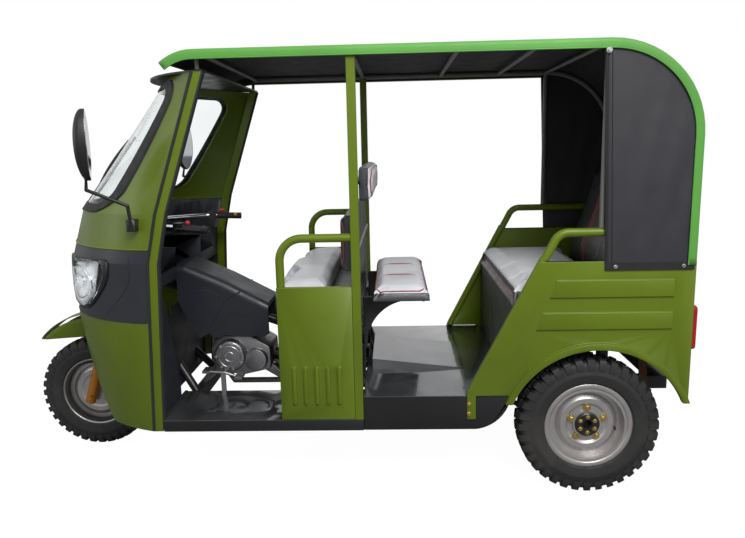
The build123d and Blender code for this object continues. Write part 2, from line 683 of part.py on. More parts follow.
# Seat side panels with pressed louvres and folded edges
SEAT_PANEL_REAR_X = B_POST_X + B_POST_SIZE / 2 + FIT_GAP
SEAT_PANEL_BOTTOM_Z = FRONT_FLOOR_Z + FIT_GAP
FLANGE = 24.0
LOUVRES = 5
LOUVRE_PITCH = 46.0
LOUVRE_SIZE = (160.0, 17.0, 8.0)
LOUVRE_Z = 476.0
with BuildPart() as seat_panels:
    panel_mid_x = (SEAT_PANEL_REAR_X + SEAT_PANEL_FRONT_X) / 2
    panel_mid_z = (SEAT_PANEL_BOTTOM_Z + SEAT_TOP_Z) / 2
    panel_l = SEAT_PANEL_FRONT_X - SEAT_PANEL_REAR_X
    panel_h = SEAT_TOP_Z - SEAT_PANEL_BOTTOM_Z
    with Locations((panel_mid_x, HALF_WIDTH - SHEET / 2, panel_mid_z)):
        Box(panel_l, SHEET, panel_h)
    with Locations((SEAT_PANEL_FRONT_X - SHEET / 2, HALF_WIDTH - FLANGE / 2, panel_mid_z)):
        Box(SHEET, FLANGE, panel_h)
    with Locations((panel_mid_x, HALF_WIDTH - FLANGE / 2, SEAT_TOP_Z - SHEET / 2)):
        Box(panel_l, FLANGE, SHEET)
    with BuildSketch(side_plane(HALF_WIDTH + LOUVRE_SIZE[2])):
        with Locations((panel_mid_x, LOUVRE_Z)):
            with GridLocations(LOUVRE_PITCH, 0, LOUVRES, 1):
                SlotOverall(LOUVRE_SIZE[0], LOUVRE_SIZE[1], rotation=90)
    extrude(amount=LOUVRE_SIZE[2] + SHEET / 2)
    mirror(about=Plane.XZ)
finish_part(seat_panels, "seat_panels")

# Seat box between the side panels, arched over the drive line
BOX_TOP_Z = 800.0
BOX_HALF = HALF_WIDTH - FLANGE - 2.0
BOX_FRONT_X = SEAT_PANEL_FRONT_X - 12.0
BOX_REAR_X = B_POST_X + B_POST_SIZE / 2 + 4.0
TUNNEL_TOP_Z = 560.0
with BuildPart() as seat_box:
    with BuildSketch(side_plane(0)):
        with BuildLine():
            Polyline(
                (BOX_REAR_X, FRONT_FLOOR_Z + FIT_GAP),
                (BOX_REAR_X, BOX_TOP_Z),
                (BOX_FRONT_X, BOX_TOP_Z),
                (BOX_FRONT_X, FRONT_FLOOR_Z + FIT_GAP),
                (BOX_FRONT_X - SHEET, FRONT_FLOOR_Z + FIT_GAP),
                (BOX_FRONT_X - SHEET, BOX_TOP_Z - SHEET),
                (BOX_REAR_X + SHEET, BOX_TOP_Z - SHEET),
                (BOX_REAR_X + SHEET, FRONT_FLOOR_Z + FIT_GAP),
                close=True,
            )
        make_face()
    extrude(amount=BOX_HALF, both=True)
    with BuildSketch(front_plane(BOX_REAR_X - 10.0)):
        with BuildLine():
            Polyline(
                (-TUNNEL_HALF, 300.0),
                (-TUNNEL_HALF, TUNNEL_TOP_Z - 60.0),
                (-TUNNEL_HALF + 60.0, TUNNEL_TOP_Z),
                (TUNNEL_HALF - 60.0, TUNNEL_TOP_Z),
                (TUNNEL_HALF, TUNNEL_TOP_Z - 60.0),
                (TUNNEL_HALF, 300.0),
                close=True,
            )
        make_face()
    extrude(amount=400.0, mode=Mode.SUBTRACT)
finish_part(seat_box, "seat_box")

# Front handrails over the seat panels
HANDRAIL_R = 17.0
HANDRAIL_Y = HALF_WIDTH - HANDRAIL_R - 2.0
FRONT_RAIL_Z = 1079.0
with BuildPart() as front_rails:
    bent_tube(
        side_plane(HANDRAIL_Y),
        (
            (SEAT_PANEL_REAR_X, FRONT_RAIL_Z),
            (SEAT_PANEL_FRONT_X - HANDRAIL_R, FRONT_RAIL_Z),
            (SEAT_PANEL_FRONT_X - HANDRAIL_R, SEAT_TOP_Z + FIT_GAP),
        ),
        90.0,
        HANDRAIL_R,
    )
    mirror(about=Plane.XZ)
finish_part(front_rails, "front_rails")

# Driver seat: bench cushion with a saddle nose
NOSE_HALF = 190.0
CUSHION_R = 22.0
with BuildPart() as driver_seat:
    cushion_mid_x = (BOX_REAR_X + 75.0 + BOX_FRONT_X + 20.0) / 2
    with Locations((cushion_mid_x, 0, (BOX_TOP_Z + FIT_GAP + SEAT_TOP_Z + 8.0) / 2)):
        cushion_length = BOX_FRONT_X + 20.0 - BOX_REAR_X - 75.0
        Box(cushion_length, 2 * BOX_HALF - 28.0, SEAT_TOP_Z + 8.0 - BOX_TOP_Z - FIT_GAP)
    fillet(driver_seat.edges().group_by(Axis.Z)[-1], CUSHION_R)
    with BuildSketch(side_plane(0)):
        with BuildLine():
            Polyline(
                (BOX_FRONT_X + 4.0, 884.0),
                (BOX_FRONT_X + 24.0, 868.0),
                (BOX_FRONT_X + 112.0, 764.0),
                (BOX_FRONT_X + 116.0, 728.0),
                (BOX_FRONT_X + 84.0, 640.0),
                (BOX_FRONT_X + 2.0, 640.0),
                (BOX_FRONT_X + 2.0, 790.0),
                close=True,
            )
        make_face()
        fillet(vertices().filter_by(lambda v: v.X > BOX_FRONT_X + 80.0), 14.0)
    extrude(amount=NOSE_HALF, both=True)
finish_part(driver_seat, "driver_seat")

# Back frame between the B posts carrying both backrests
BACK_BAR_R = 12.5
with BuildPart() as back_frame:
    for z in (700.0, 1010.0, 1285.0):
        bar_half = HALF_WIDTH - B_POST_SIZE - FIT_GAP
        tube_run(((B_POST_X, -bar_half, z), (B_POST_X, bar_half, z)), BACK_BAR_R)
    with Locations((B_POST_X, 0, 920.0)):
        Box(8.0, 2 * (HALF_WIDTH - 120.0), 560.0)
finish_part(back_frame, "back_frame")

# Driver backrest on the front of the back frame
with BuildPart() as driver_backrest:
    with Locations((B_POST_X + BACK_BAR_R + FIT_GAP + 32.0, 0, 1028.0)):
        Box(64.0, 2 * (HALF_WIDTH - 190.0), 264.0)
    fillet(driver_backrest.faces().sort_by(Axis.X)[-1].edges(), CUSHION_R)
finish_part(driver_backrest, "driver_backrest")

# Rear-facing jump seat, its brackets and its back pad
JUMP_FRONT_X = B_POST_X - 45.0
JUMP_REAR_X = B_POST_X - 311.0
JUMP_TOP_Z = 845.0
JUMP_T = 56.0
with BuildPart() as jump_seat:
    with Locations(((JUMP_FRONT_X + JUMP_REAR_X) / 2, 0, JUMP_TOP_Z - JUMP_T / 2)):
        Box(JUMP_FRONT_X - JUMP_REAR_X, 2 * (HALF_WIDTH - 130.0), JUMP_T)
    fillet(jump_seat.edges().group_by(Axis.Z)[-1], CUSHION_R)
finish_part(jump_seat, "jump_seat")
BRACKET_Y = 300.0
BRACKET_X = B_POST_X - BACK_BAR_R - 1.0
with BuildPart() as jump_brackets:
    with BuildSketch(side_plane(BRACKET_Y + 10.0)):
        with BuildLine():
            Line((BRACKET_X, 560.0), (BRACKET_X, JUMP_TOP_Z - JUMP_T - FIT_GAP))
            Line(
                (BRACKET_X, JUMP_TOP_Z - JUMP_T - FIT_GAP),
                (JUMP_REAR_X + 30.0, JUMP_TOP_Z - JUMP_T - FIT_GAP),
            )
            Line(
                (JUMP_REAR_X + 30.0, JUMP_TOP_Z - JUMP_T - FIT_GAP),
                (JUMP_REAR_X + 30.0, JUMP_TOP_Z - JUMP_T - 26.0),
            )
            ThreePointArc(
                (JUMP_REAR_X + 30.0, JUMP_TOP_Z - JUMP_T - 26.0),
                (B_POST_X - 85.0, JUMP_TOP_Z - JUMP_T - 75.0),
                (B_POST_X - 30.0, 560.0),
            )
            Line((B_POST_X - 30.0, 560.0), (BRACKET_X, 560.0))
        make_face()
    extrude(amount=20.0)
    with Locations((B_POST_X - 12.0, BRACKET_Y, (DECK_Z + 570.0) / 2)):
        Box(16.0, 20.0, 570.0 - DECK_Z)
    with Locations((B_POST_X - 9.3, BRACKET_Y, 640.0)):
        Box(10.0, 60.0, 24.0)
    mirror(about=Plane.XZ)
finish_part(jump_brackets, "jump_brackets")
with BuildPart() as jump_back:
    with Locations((B_POST_X - BACK_BAR_R - FIT_GAP - 30.0, 0, 1282.0)):
        Box(60.0, 2 * (HALF_WIDTH - 100.0), 156.0)
    fillet(jump_back.faces().sort_by(Axis.X)[0].edges(), CUSHION_R)
finish_part(jump_back, "jump_back")

# Rear side panels: slanted front, wheel arch with rolled lip, two pressed ribs
PANEL_FOOT_X = REAR_AXLE_X + 497.0
PANEL_SLANT_X = REAR_AXLE_X + 212.0
PANEL_REAR_X = BACK_X
PANEL_REAR_Z = 392.0
ARCH_X = REAR_AXLE_X - 25.0
ARCH_Z = 250.0
ARCH_R = 367.0
ARCH_LIP = 26.0
ARCH_PROUD = 22.0
RIB_PROUD = 7.0
with BuildPart() as rear_sides:
    with BuildSketch(side_plane(HALF_WIDTH)):
        with BuildLine():
            Polyline(
                (PANEL_FOOT_X, DECK_Z),
                (PANEL_SLANT_X, PANEL_TOP_Z),
                (PANEL_REAR_X, PANEL_TOP_Z),
                (PANEL_REAR_X, PANEL_REAR_Z),
                (ARCH_X, PANEL_REAR_Z),
                (ARCH_X, DECK_Z),
                close=True,
            )
        make_face()
        with Locations((ARCH_X, ARCH_Z)):
            Circle(ARCH_R, mode=Mode.SUBTRACT)
    extrude(amount=SHEET)
    with BuildSketch(side_plane(HALF_WIDTH + ARCH_PROUD)):
        with Locations((ARCH_X, ARCH_Z)):
            Circle(ARCH_R + ARCH_LIP)
            Circle(ARCH_R, mode=Mode.SUBTRACT)
        with Locations((ARCH_X, PANEL_REAR_Z - 400.0)):
            Rectangle(1000.0, 800.0, mode=Mode.SUBTRACT)
        with Locations((PANEL_REAR_X - 200.0, ARCH_Z)):
            Rectangle(400.0, 800.0, mode=Mode.SUBTRACT)
    extrude(amount=ARCH_PROUD + SHEET)
    with BuildSketch(side_plane(HALF_WIDTH + RIB_PROUD)):
        for low_z, high_z, front, front_low in ((829.0, 898.0, 146.0, 172.0), (699.0, 767.0, 197.0, 223.0)):
            with BuildLine():
                Polyline(
                    (REAR_AXLE_X + front_low, low_z),
                    (REAR_AXLE_X + front, high_z),
                    (PANEL_REAR_X + 82.0, high_z),
                    (PANEL_REAR_X + 82.0, low_z),
                    close=True,
                )
            make_face()
    extrude(amount=RIB_PROUD + 1.0)
    with BuildSketch(side_plane(HALF_WIDTH)):
        with BuildLine():
            Polyline(
                (PANEL_FOOT_X, DECK_Z),
                (PANEL_SLANT_X, PANEL_TOP_Z),
                (PANEL_SLANT_X - 8.0, PANEL_TOP_Z),
                (PANEL_FOOT_X - 8.0, DECK_Z),
                close=True,
            )
        make_face()
    extrude(amount=FLANGE)
    with Locations((PANEL_FOOT_X - 20.0, HALF_WIDTH - SHEET / 2, DECK_Z - 45.0)):
        Box(36.0, SHEET, 110.0)
    mirror(about=Plane.XZ)
finish_part(rear_sides, "rear_sides")

# Rear handrails carried on along the slant
C_POST_X = REAR_AXLE_X - 25.0
REAR_RAIL_Z = 1084.0
SLANT = (PANEL_SLANT_X - PANEL_FOOT_X) / (PANEL_TOP_Z - DECK_Z)
with BuildPart() as rear_rails:
    low_x = PANEL_SLANT_X - HANDRAIL_R - 4.0
    low_z = PANEL_TOP_Z + HANDRAIL_R * 0.5
    bent_tube(
        side_plane(HANDRAIL_Y),
        (
            (low_x, low_z),
            (low_x + SLANT * (REAR_RAIL_Z - low_z), REAR_RAIL_Z),
            (BACK_X + 40.0, REAR_RAIL_Z),
        ),
        60.0,
        HANDRAIL_R,
    )
    mirror(about=Plane.XZ)
finish_part(rear_rails, "rear_rails")

# Bench box: front riser and seat board
BENCH_BOARD_Z = 778.0
BENCH_HALF = HALF_WIDTH - FLANGE - 4.0
BENCH_BACK_X = BACK_X + 60.0
with BuildPart() as bench_box:
    with Locations((BENCH_RISER_X - FIT_GAP - SHEET / 2, 0, (DECK_Z - FLOOR_PLATE + BENCH_BOARD_Z) / 2)):
        Box(SHEET, 2 * BENCH_HALF, BENCH_BOARD_Z - DECK_Z + FLOOR_PLATE)
    board_mid_x = (BENCH_RISER_X - FIT_GAP + BENCH_BACK_X) / 2
    with Locations((board_mid_x, 0, BENCH_BOARD_Z - SHEET)):
        Box(BENCH_RISER_X - FIT_GAP - BENCH_BACK_X, 2 * BENCH_HALF, 2 * SHEET)
finish_part(bench_box, "bench_box")

# Rear bench cushion and leaning backrest
BENCH_TOP_Z = 872.0
with BuildPart() as rear_bench:
    cushion_front = BENCH_RISER_X + 18.0
    cushion_rear = REAR_AXLE_X - 150.0
    with Locations(((cushion_front + cushion_rear) / 2, 0, (BENCH_BOARD_Z + FIT_GAP + BENCH_TOP_Z) / 2)):
        Box(cushion_front - cushion_rear, 2 * BENCH_HALF - 6.0, BENCH_TOP_Z - BENCH_BOARD_Z - FIT_GAP)
    fillet(rear_bench.edges().group_by(Axis.Z)[-1], CUSHION_R)
finish_part(rear_bench, "rear_bench")
with BuildPart() as rear_backrest:
    with BuildSketch(side_plane(0)):
        with BuildLine():
            Polyline(
                (REAR_AXLE_X - 156.0, BENCH_BOARD_Z + FIT_GAP),
                (REAR_AXLE_X - 160.0, 880.0),
                (REAR_AXLE_X - 300.0, 1290.0),
                (REAR_AXLE_X - 352.0, 1300.0),
                (REAR_AXLE_X - 352.0, 1180.0),
                (REAR_AXLE_X - 250.0, BENCH_BOARD_Z + FIT_GAP),
                close=True,
            )
        make_face()
        fillet(vertices().filter_by(lambda v: v.Y > 1000.0), 20.0)
    extrude(amount=BENCH_HALF - 14.0, both=True)
finish_part(rear_backrest, "rear_backrest")

# Rear wall between the side panels and the tail lamps on it
WALL_BOTTOM_Z = DECK_Z + 4.0
with BuildPart() as rear_wall:
    wall_half = HALF_WIDTH - SHEET - FIT_GAP
    with Locations((BACK_X + SHEET / 2, 0, (WALL_BOTTOM_Z + PANEL_TOP_Z) / 2)):
        Box(SHEET, 2 * wall_half, PANEL_TOP_Z - WALL_BOTTOM_Z)
    with Locations((BACK_X + FLANGE / 2, 0, PANEL_TOP_Z - SHEET / 2)):
        Box(FLANGE, 2 * wall_half, SHEET)
finish_part(rear_wall, "rear_wall")
LAMP_W = 84.0
LAMP_H = 180.0
with BuildPart() as tail_lamps:
    with BuildSketch(front_plane(TAIL_X)):
        with Locations((HALF_WIDTH - 70.0, 690.0)):
            RectangleRounded(LAMP_W, LAMP_H, 16.0)
    extrude(amount=BACK_X - TAIL_X - FIT_GAP)
    fillet(tail_lamps.faces().sort_by(Axis.X)[0].edges(), 8.0)
    mirror(about=Plane.XZ)
finish_part(tail_lamps, "tail_lamps")

# Roof frame: side rails bent down at the back, cross bows, C posts and header struts
ROOF_FRONT_X = FRONT_AXLE_X - 602.0
ROOF_BEND = 340.0
RAIL_BACK_X = BACK_X + 8.0 + ROOF_RAIL_R
BOWS = (ROOF_FRONT_X - 153.0, B_POST_X, REAR_AXLE_X + 525.0, REAR_AXLE_X + 225.0, C_POST_X)
BACK_BOW_Z = PANEL_TOP_Z + 0.8135 * (ROOF_RAIL_Z - ROOF_BEND - PANEL_TOP_Z)
with BuildPart() as roof_frame:
    bent_tube(
        side_plane(ROOF_RAIL_Y),
        (
            (ROOF_FRONT_X - 134.0, ROOF_RAIL_Z),
            (RAIL_BACK_X, ROOF_RAIL_Z),
            (RAIL_BACK_X, PANEL_TOP_Z + FIT_GAP),
        ),
        ROOF_BEND,
        ROOF_RAIL_R,
    )
    mirror(about=Plane.XZ)
    for x in BOWS:
        tube_run(((x, -ROOF_RAIL_Y, ROOF_RAIL_Z), (x, ROOF_RAIL_Y, ROOF_RAIL_Z)), 10.0)
    for x, z in ((RAIL_BACK_X, BACK_BOW_Z), (RAIL_BACK_X, PANEL_TOP_Z + 30.0)):
        tube_run(((x, -ROOF_RAIL_Y, z), (x, ROOF_RAIL_Y, z)), 10.0)
    for side in (-1, 1):
        y = side * ROOF_RAIL_Y
        tube_run(((C_POST_X, y, REAR_RAIL_Z + HANDRAIL_R + FIT_GAP), (C_POST_X, y, ROOF_RAIL_Z)), 11.0)
        foot_x = FRONT_AXLE_X + COWL["header"].rear - 20.0
        foot_z = COWL["header"].z + VISOR_T + 3.0
        foot_y = side * (ROOF_RAIL_Y - 14.0)
        tube_run(((foot_x, foot_y, foot_z), (foot_x, side * ROOF_RAIL_Y, ROOF_RAIL_Z)), 8.0)
finish_part(roof_frame, "roof_frame")

# Canopy: one sheet over roof and back with a hem down both sides
CANOPY_HALF = HALF_WIDTH + 10.0
CANOPY_BEND = 360.0
HEM = 36.0
CANOPY_FOOT_Z = 955.0


def canopy_band(depth):
    """Side view of the canopy edge, as deep as given below the outer line."""
    front_drop = 46.0
    with BuildLine() as outline:
        bend_x = BACK_X + CANOPY_BEND
        bend_z = ROOF_Z - CANOPY_BEND
        arc = CANOPY_BEND * sqrt(0.5)
        inner = (CANOPY_BEND - depth) * sqrt(0.5)
        Line((BACK_X, CANOPY_FOOT_Z), (BACK_X, bend_z))
        ThreePointArc((BACK_X, bend_z), (bend_x - arc, bend_z + arc), (bend_x, ROOF_Z))
        Line((bend_x, ROOF_Z), (ROOF_FRONT_X - 130.0, ROOF_Z))
        ThreePointArc(
            (ROOF_FRONT_X - 130.0, ROOF_Z),
            (ROOF_FRONT_X - 60.0, ROOF_Z - 11.0),
            (ROOF_FRONT_X, ROOF_Z - front_drop),
        )
        Line((ROOF_FRONT_X, ROOF_Z - front_drop), (ROOF_FRONT_X - 3.0, ROOF_Z - front_drop - 3.0))
        ThreePointArc(
            (ROOF_FRONT_X - 3.0, ROOF_Z - front_drop - 3.0),
            (ROOF_FRONT_X - 62.0, ROOF_Z - 11.0 - 0.7 * depth),
            (ROOF_FRONT_X - 130.0, ROOF_Z - depth),
        )
        Line((ROOF_FRONT_X - 130.0, ROOF_Z - depth), (bend_x, ROOF_Z - depth))
        ThreePointArc(
            (bend_x, ROOF_Z - depth),
            (bend_x - inner, bend_z + inner),
            (BACK_X + depth, bend_z),
        )
        Line((BACK_X + depth, bend_z), (BACK_X + depth, CANOPY_FOOT_Z))
        Line((BACK_X + depth, CANOPY_FOOT_Z), (BACK_X, CANOPY_FOOT_Z))
    make_face(outline.edges())


with BuildPart() as canopy:
    with BuildSketch(side_plane(0)):
        canopy_band(ROOF_SHEET)
    extrude(amount=CANOPY_HALF, both=True)
    with BuildSketch(side_plane(CANOPY_HALF)):
        canopy_band(HEM)
    extrude(amount=ROOF_SHEET)
    with BuildSketch(side_plane(-CANOPY_HALF + ROOF_SHEET)):
        canopy_band(HEM)
    extrude(amount=ROOF_SHEET)
    with Locations((BACK_X + 15.0, 0, (CANOPY_FOOT_Z + PANEL_TOP_Z) / 2 - 5.0)):
        Box(60.0, 2 * HALF_WIDTH + 1.0, PANEL_TOP_Z - CANOPY_FOOT_Z + 11.0, mode=Mode.SUBTRACT)
finish_part(canopy, "canopy")

# Side curtains hanging inside the canopy hem at the rear
CURTAIN_FRONT_X = REAR_AXLE_X - 36.0
CURTAIN_BOTTOM_Z = 938.0
CURTAIN_T = 3.5
CURTAIN_EDGE = 8.0
with BuildPart() as curtains:
    with BuildSketch(side_plane(CANOPY_HALF - ROOF_SHEET - FIT_GAP)):
        with BuildLine():
            bend_x = BACK_X + CANOPY_BEND
            bend_z = ROOF_Z - CANOPY_BEND
            edge_r = CANOPY_BEND - CURTAIN_EDGE
            edge = edge_r * sqrt(0.5)
            Line((BACK_X + CURTAIN_EDGE, CURTAIN_BOTTOM_Z), (BACK_X + CURTAIN_EDGE, bend_z))
            ThreePointArc(
                (BACK_X + CURTAIN_EDGE, bend_z),
                (bend_x - edge, bend_z + edge),
                (bend_x, ROOF_Z - CURTAIN_EDGE),
            )
            Polyline(
                (bend_x, ROOF_Z - CURTAIN_EDGE),
                (CURTAIN_FRONT_X + 30.0, ROOF_Z - CURTAIN_EDGE),
                (CURTAIN_FRONT_X, CURTAIN_BOTTOM_Z),
                (BACK_X + CURTAIN_EDGE, CURTAIN_BOTTOM_Z),
            )
        make_face()
    extrude(amount=CURTAIN_T)
    mirror(about=Plane.XZ)
finish_part(curtains, "curtains")

# Mirrors on bent stalks with brackets at the scuttle
MIRROR = Vector(FRONT_AXLE_X - 318.0, HALF_WIDTH + 56.0, 1460.0)
MIRROR_HALF_W = 66.0
MIRROR_HALF_H = 134.0
MIRROR_DEPTH = 46.0
with BuildPart() as mirrors:
    with BuildSketch(front_plane(MIRROR.X - 10.0)):
        with Locations((MIRROR.Y, MIRROR.Z)):
            Ellipse(MIRROR_HALF_W, MIRROR_HALF_H)
    extrude(amount=MIRROR_DEPTH)
    fillet(mirrors.faces().sort_by(Axis.X)[-1].edges(), 24.0)
    base = Vector(FRONT_AXLE_X - 452.0, HALF_WIDTH + 16.0, 1150.0)
    tube_run(
        (
            tuple(base),
            (base.X + 4.0, base.Y + 10.0, base.Z + 75.0),
            (MIRROR.X + 14.0, MIRROR.Y - 4.0, base.Z + 140.0),
            (MIRROR.X + 14.0, MIRROR.Y, MIRROR.Z - MIRROR_HALF_H + 20.0),
        ),
        7.0,
    )
    with Locations((base.X, base.Y - 20.0, base.Z - 4.0)):
        Box(34.0, 54.0, 48.0)
    cowl_fill((COWL["shoulder"], COWL["scuttle"]), -FIT_GAP, 80.0, Mode.SUBTRACT)
    mirror(about=Plane.XZ)
finish_part(mirrors, "mirrors")
with BuildPart() as mirror_glass:
    with BuildSketch(front_plane(MIRROR.X - 10.0 - 2.5 - FIT_GAP)):
        with Locations((MIRROR.Y, MIRROR.Z)):
            Ellipse(MIRROR_HALF_W - 7.0, MIRROR_HALF_H - 7.0)
    extrude(amount=2.5)
    mirror(about=Plane.XZ)
finish_part(mirror_glass, "mirror_glass")

# Wiper on the screen, arm pivoted on the scuttle
with BuildPart() as wiper:
    slope = (COWL["header"].nose - COWL["scuttle"].nose) / (COWL["header"].z - COWL["scuttle"].z)
    scuttle_x = FRONT_AXLE_X + COWL["scuttle"].nose
    points = []
    for z, out in ((1150.0, 4.0), (1176.0, 26.0), (1330.0, 26.0)):
        points.append((scuttle_x + slope * (z - COWL["scuttle"].z) + out, 40.0, z))
    points[0] = (FRONT_AXLE_X - 46.0, 40.0, 1150.0)
    tube_run(points, 5.0)
    blade = [(scuttle_x + slope * (z - COWL["scuttle"].z) + 17.0, 40.0, z) for z in (1262.0, 1500.0)]
    tube_run(blade, 8.0)
    with Locations(Plane(origin=(FRONT_AXLE_X - 72.0, 40.0, 1150.0), z_dir=(1, 0, 0))):
        Cylinder(13.0, 40.0, align=(Align.CENTER, Align.CENTER, Align.MIN))
    cowl_fill((COWL["shoulder"], COWL["scuttle"]), -FIT_GAP, 0.0, Mode.SUBTRACT)
finish_part(wiper, "wiper")

# Rear axle beam with differential, brake plates and spring seats
AXLE_R = 34.0
AXLE_END_Y = REAR_WHEEL_Y - 108.0
STUB_R = 16.0
SPRING_Y = RAIL_Y
LEAF_T = 8.0
LEAVES = 3
LEAF_W = 50.0
SPRING_TOP_Z = REAR_AXLE_Z - AXLE_R - 6.0
JACK_T = 12.0
with BuildPart() as rear_axle:
    tube_run(((REAR_AXLE_X, -AXLE_END_Y, REAR_AXLE_Z), (REAR_AXLE_X, AXLE_END_Y, REAR_AXLE_Z)), AXLE_R)
    stub_y = REAR_WHEEL_Y + 6.0
    tube_run(((REAR_AXLE_X, -stub_y, REAR_AXLE_Z), (REAR_AXLE_X, stub_y, REAR_AXLE_Z)), STUB_R)
    with BuildSketch(side_plane(62.0)):
        with Locations((REAR_AXLE_X, REAR_AXLE_Z)):
            Circle(104.0)
    extrude(amount=124.0)
    fillet(rear_axle.edges().filter_by(GeomType.CIRCLE).filter_by(lambda e: e.radius > 100.0), 34.0)
    tube_run(((REAR_AXLE_X, 0, REAR_AXLE_Z), (REAR_AXLE_X + 150.0, 0, REAR_AXLE_Z + 10.0)), 42.0)
    for side in (-1, 1):
        with Locations((REAR_AXLE_X, side * SPRING_Y, REAR_AXLE_Z - 22.0)):
            Box(60.0, LEAF_W, 2 * (REAR_AXLE_Z - 22.0 - SPRING_TOP_Z - 0.8))
        with Locations(Plane(origin=(REAR_AXLE_X, side * AXLE_END_Y, REAR_AXLE_Z), z_dir=(0, side, 0))):
            Cylinder(112.0, 6.0, align=(Align.CENTER, Align.CENTER, Align.MIN))
finish_part(rear_axle, "rear_axle")

# Leaf springs slung under the axle, with clamp plates as jacking points
SPRING_HALF = 305.0
SPRING_RISE = 74.0
EYE_R = 17.0
with BuildPart() as springs:
    radius = (SPRING_HALF**2 + SPRING_RISE**2) / (2 * SPRING_RISE)
    centre_z = SPRING_TOP_Z + radius
    for leaf, half in enumerate((SPRING_HALF, 225.0, 150.0)):
        top_r = radius + leaf * LEAF_T
        with BuildSketch(side_plane(SPRING_Y + LEAF_W / 2)):
            with Locations((REAR_AXLE_X, centre_z)):
                Circle(top_r + LEAF_T)
                Circle(top_r, mode=Mode.SUBTRACT)
            with Locations((REAR_AXLE_X, centre_z + 300.0)):
                Rectangle(4000.0, 2 * (radius + 300.0) - 2 * SPRING_RISE - 0.0, mode=Mode.SUBTRACT)
            with Locations((REAR_AXLE_X - half - 1000.0, centre_z), (REAR_AXLE_X + half + 1000.0, centre_z)):
                Rectangle(2000.0, 4000.0, mode=Mode.SUBTRACT)
        extrude(amount=LEAF_W)
    for end in (-1, 1):
        with BuildSketch(side_plane(SPRING_Y + LEAF_W / 2)):
            with Locations((REAR_AXLE_X + end * SPRING_HALF, SPRING_TOP_Z + SPRING_RISE + 2.0)):
                Circle(EYE_R)
        extrude(amount=LEAF_W)
    pack_bottom = SPRING_TOP_Z - LEAVES * LEAF_T
    with Locations((REAR_AXLE_X, SPRING_Y, pack_bottom - JACK_T / 2 + 1.0)):
        Box(90.0, LEAF_W + 20.0, JACK_T)
    mirror(about=Plane.XZ)
finish_part(springs, "springs")

# Spring hangers under the rails
with BuildPart() as hangers:
    rail_bottom = RAIL_HIGH_Z - RAIL_H / 2 - FIT_GAP
    eye_z = SPRING_TOP_Z + SPRING_RISE + 2.0
    for end in (-1, 1):
        for side in (-1, 1):
            y = side * SPRING_Y
            x = REAR_AXLE_X + end * SPRING_HALF
            for cheek in (-1, 1):
                cheek_y = y + cheek * (LEAF_W / 2 + FIT_GAP + 4.0)
                with Locations((x, cheek_y, (rail_bottom + eye_z - 22.0) / 2)):
                    Box(44.0, 8.0, rail_bottom - eye_z + 22.0)
            with Locations((x, y, rail_bottom - 3.0)):
                Box(44.0, LEAF_W + 16.0, 6.0)
finish_part(hangers, "hangers")

# Drive shaft from gearbox to differential
with BuildPart() as drive_shaft:
    shaft_front = (CRANK_X - 190.0, 0, 445.0)
    shaft_rear = (REAR_AXLE_X + 152.0, 0, REAR_AXLE_Z + 12.0)
    tube_run((shaft_front, shaft_rear), 19.0)
    for x, y, z in (shaft_front, shaft_rear):
        toward = Vector(*shaft_rear) - Vector(*shaft_front)
        if x == shaft_rear[0]:
            toward = -toward
        with Locations(Plane(origin=(x, y, z), z_dir=toward)):
            Cylinder(32.0, 30.0, align=(Align.CENTER, Align.CENTER, Align.MIN))
finish_part(drive_shaft, "drive_shaft")

# Front fork: sliders, tubes and wheel axle
FORK_Y = FRONT_TYRE_W / 2 + 40.0
SLIDER_R = 23.0
TUBE_R = 16.5
SLIDER_TOP_UP = 300.0
LOW_YOKE_UP = 436.0
HIGH_YOKE_UP = 698.0
YOKE_T = 32.0
AXLE_PIN_R = 8.5
with BuildPart() as fork:
    for side in (-1, 1):
        with BuildSketch(steer_plane(-34.0, STEER_OFFSET, side * FORK_Y)):
            Circle(SLIDER_R)
        extrude(amount=SLIDER_TOP_UP + 34.0)
        with BuildSketch(steer_plane(SLIDER_TOP_UP - 2.0, STEER_OFFSET, side * FORK_Y)):
            Circle(TUBE_R)
        extrude(amount=HIGH_YOKE_UP + YOKE_T - SLIDER_TOP_UP)
    pin_half = FORK_Y + SLIDER_R + 14.0
    tube_run(((FRONT_AXLE_X, -pin_half, FRONT_AXLE_Z), (FRONT_AXLE_X, pin_half, FRONT_AXLE_Z)), AXLE_PIN_R)
    for side in (-1, 1):
        nut_face = (FRONT_AXLE_X, side * (FORK_Y + 18.0), FRONT_AXLE_Z)
        with Locations(Plane(origin=nut_face, z_dir=(0, side, 0))):
            Cylinder(14.0, 18.0, align=(Align.CENTER, Align.CENTER, Align.MIN))
finish_part(fork, "fork")

# Steering yokes and stem
with BuildPart() as yokes:
    for up in (LOW_YOKE_UP, HIGH_YOKE_UP):
        with BuildSketch(steer_plane(up)):
            with BuildLine():
                Polyline(
                    (-34.0, -30.0),
                    (-34.0, 30.0),
                    (STEER_OFFSET - 30.0, FORK_Y + 26.0),
                    (STEER_OFFSET + 24.0, FORK_Y + 26.0),
                    (STEER_OFFSET + 24.0, -FORK_Y - 26.0),
                    (STEER_OFFSET - 30.0, -FORK_Y - 26.0),
                    close=True,
                )
            make_face()
            fillet(vertices(), 14.0)
            with Locations((STEER_OFFSET, FORK_Y), (STEER_OFFSET, -FORK_Y)):
                Circle(TUBE_R + FIT_GAP, mode=Mode.SUBTRACT)
        extrude(amount=YOKE_T)
    with BuildSketch(steer_plane(LOW_YOKE_UP + 2.0)):
        Circle(STEM_R)
    extrude(amount=HIGH_YOKE_UP - LOW_YOKE_UP)
    with BuildSketch(steer_plane(HIGH_YOKE_UP + YOKE_T - 1.0)):
        with Locations((4.0, 42.0), (4.0, -42.0)):
            Rectangle(44.0, 26.0)
    extrude(amount=92.0)
finish_part(yokes, "yokes")

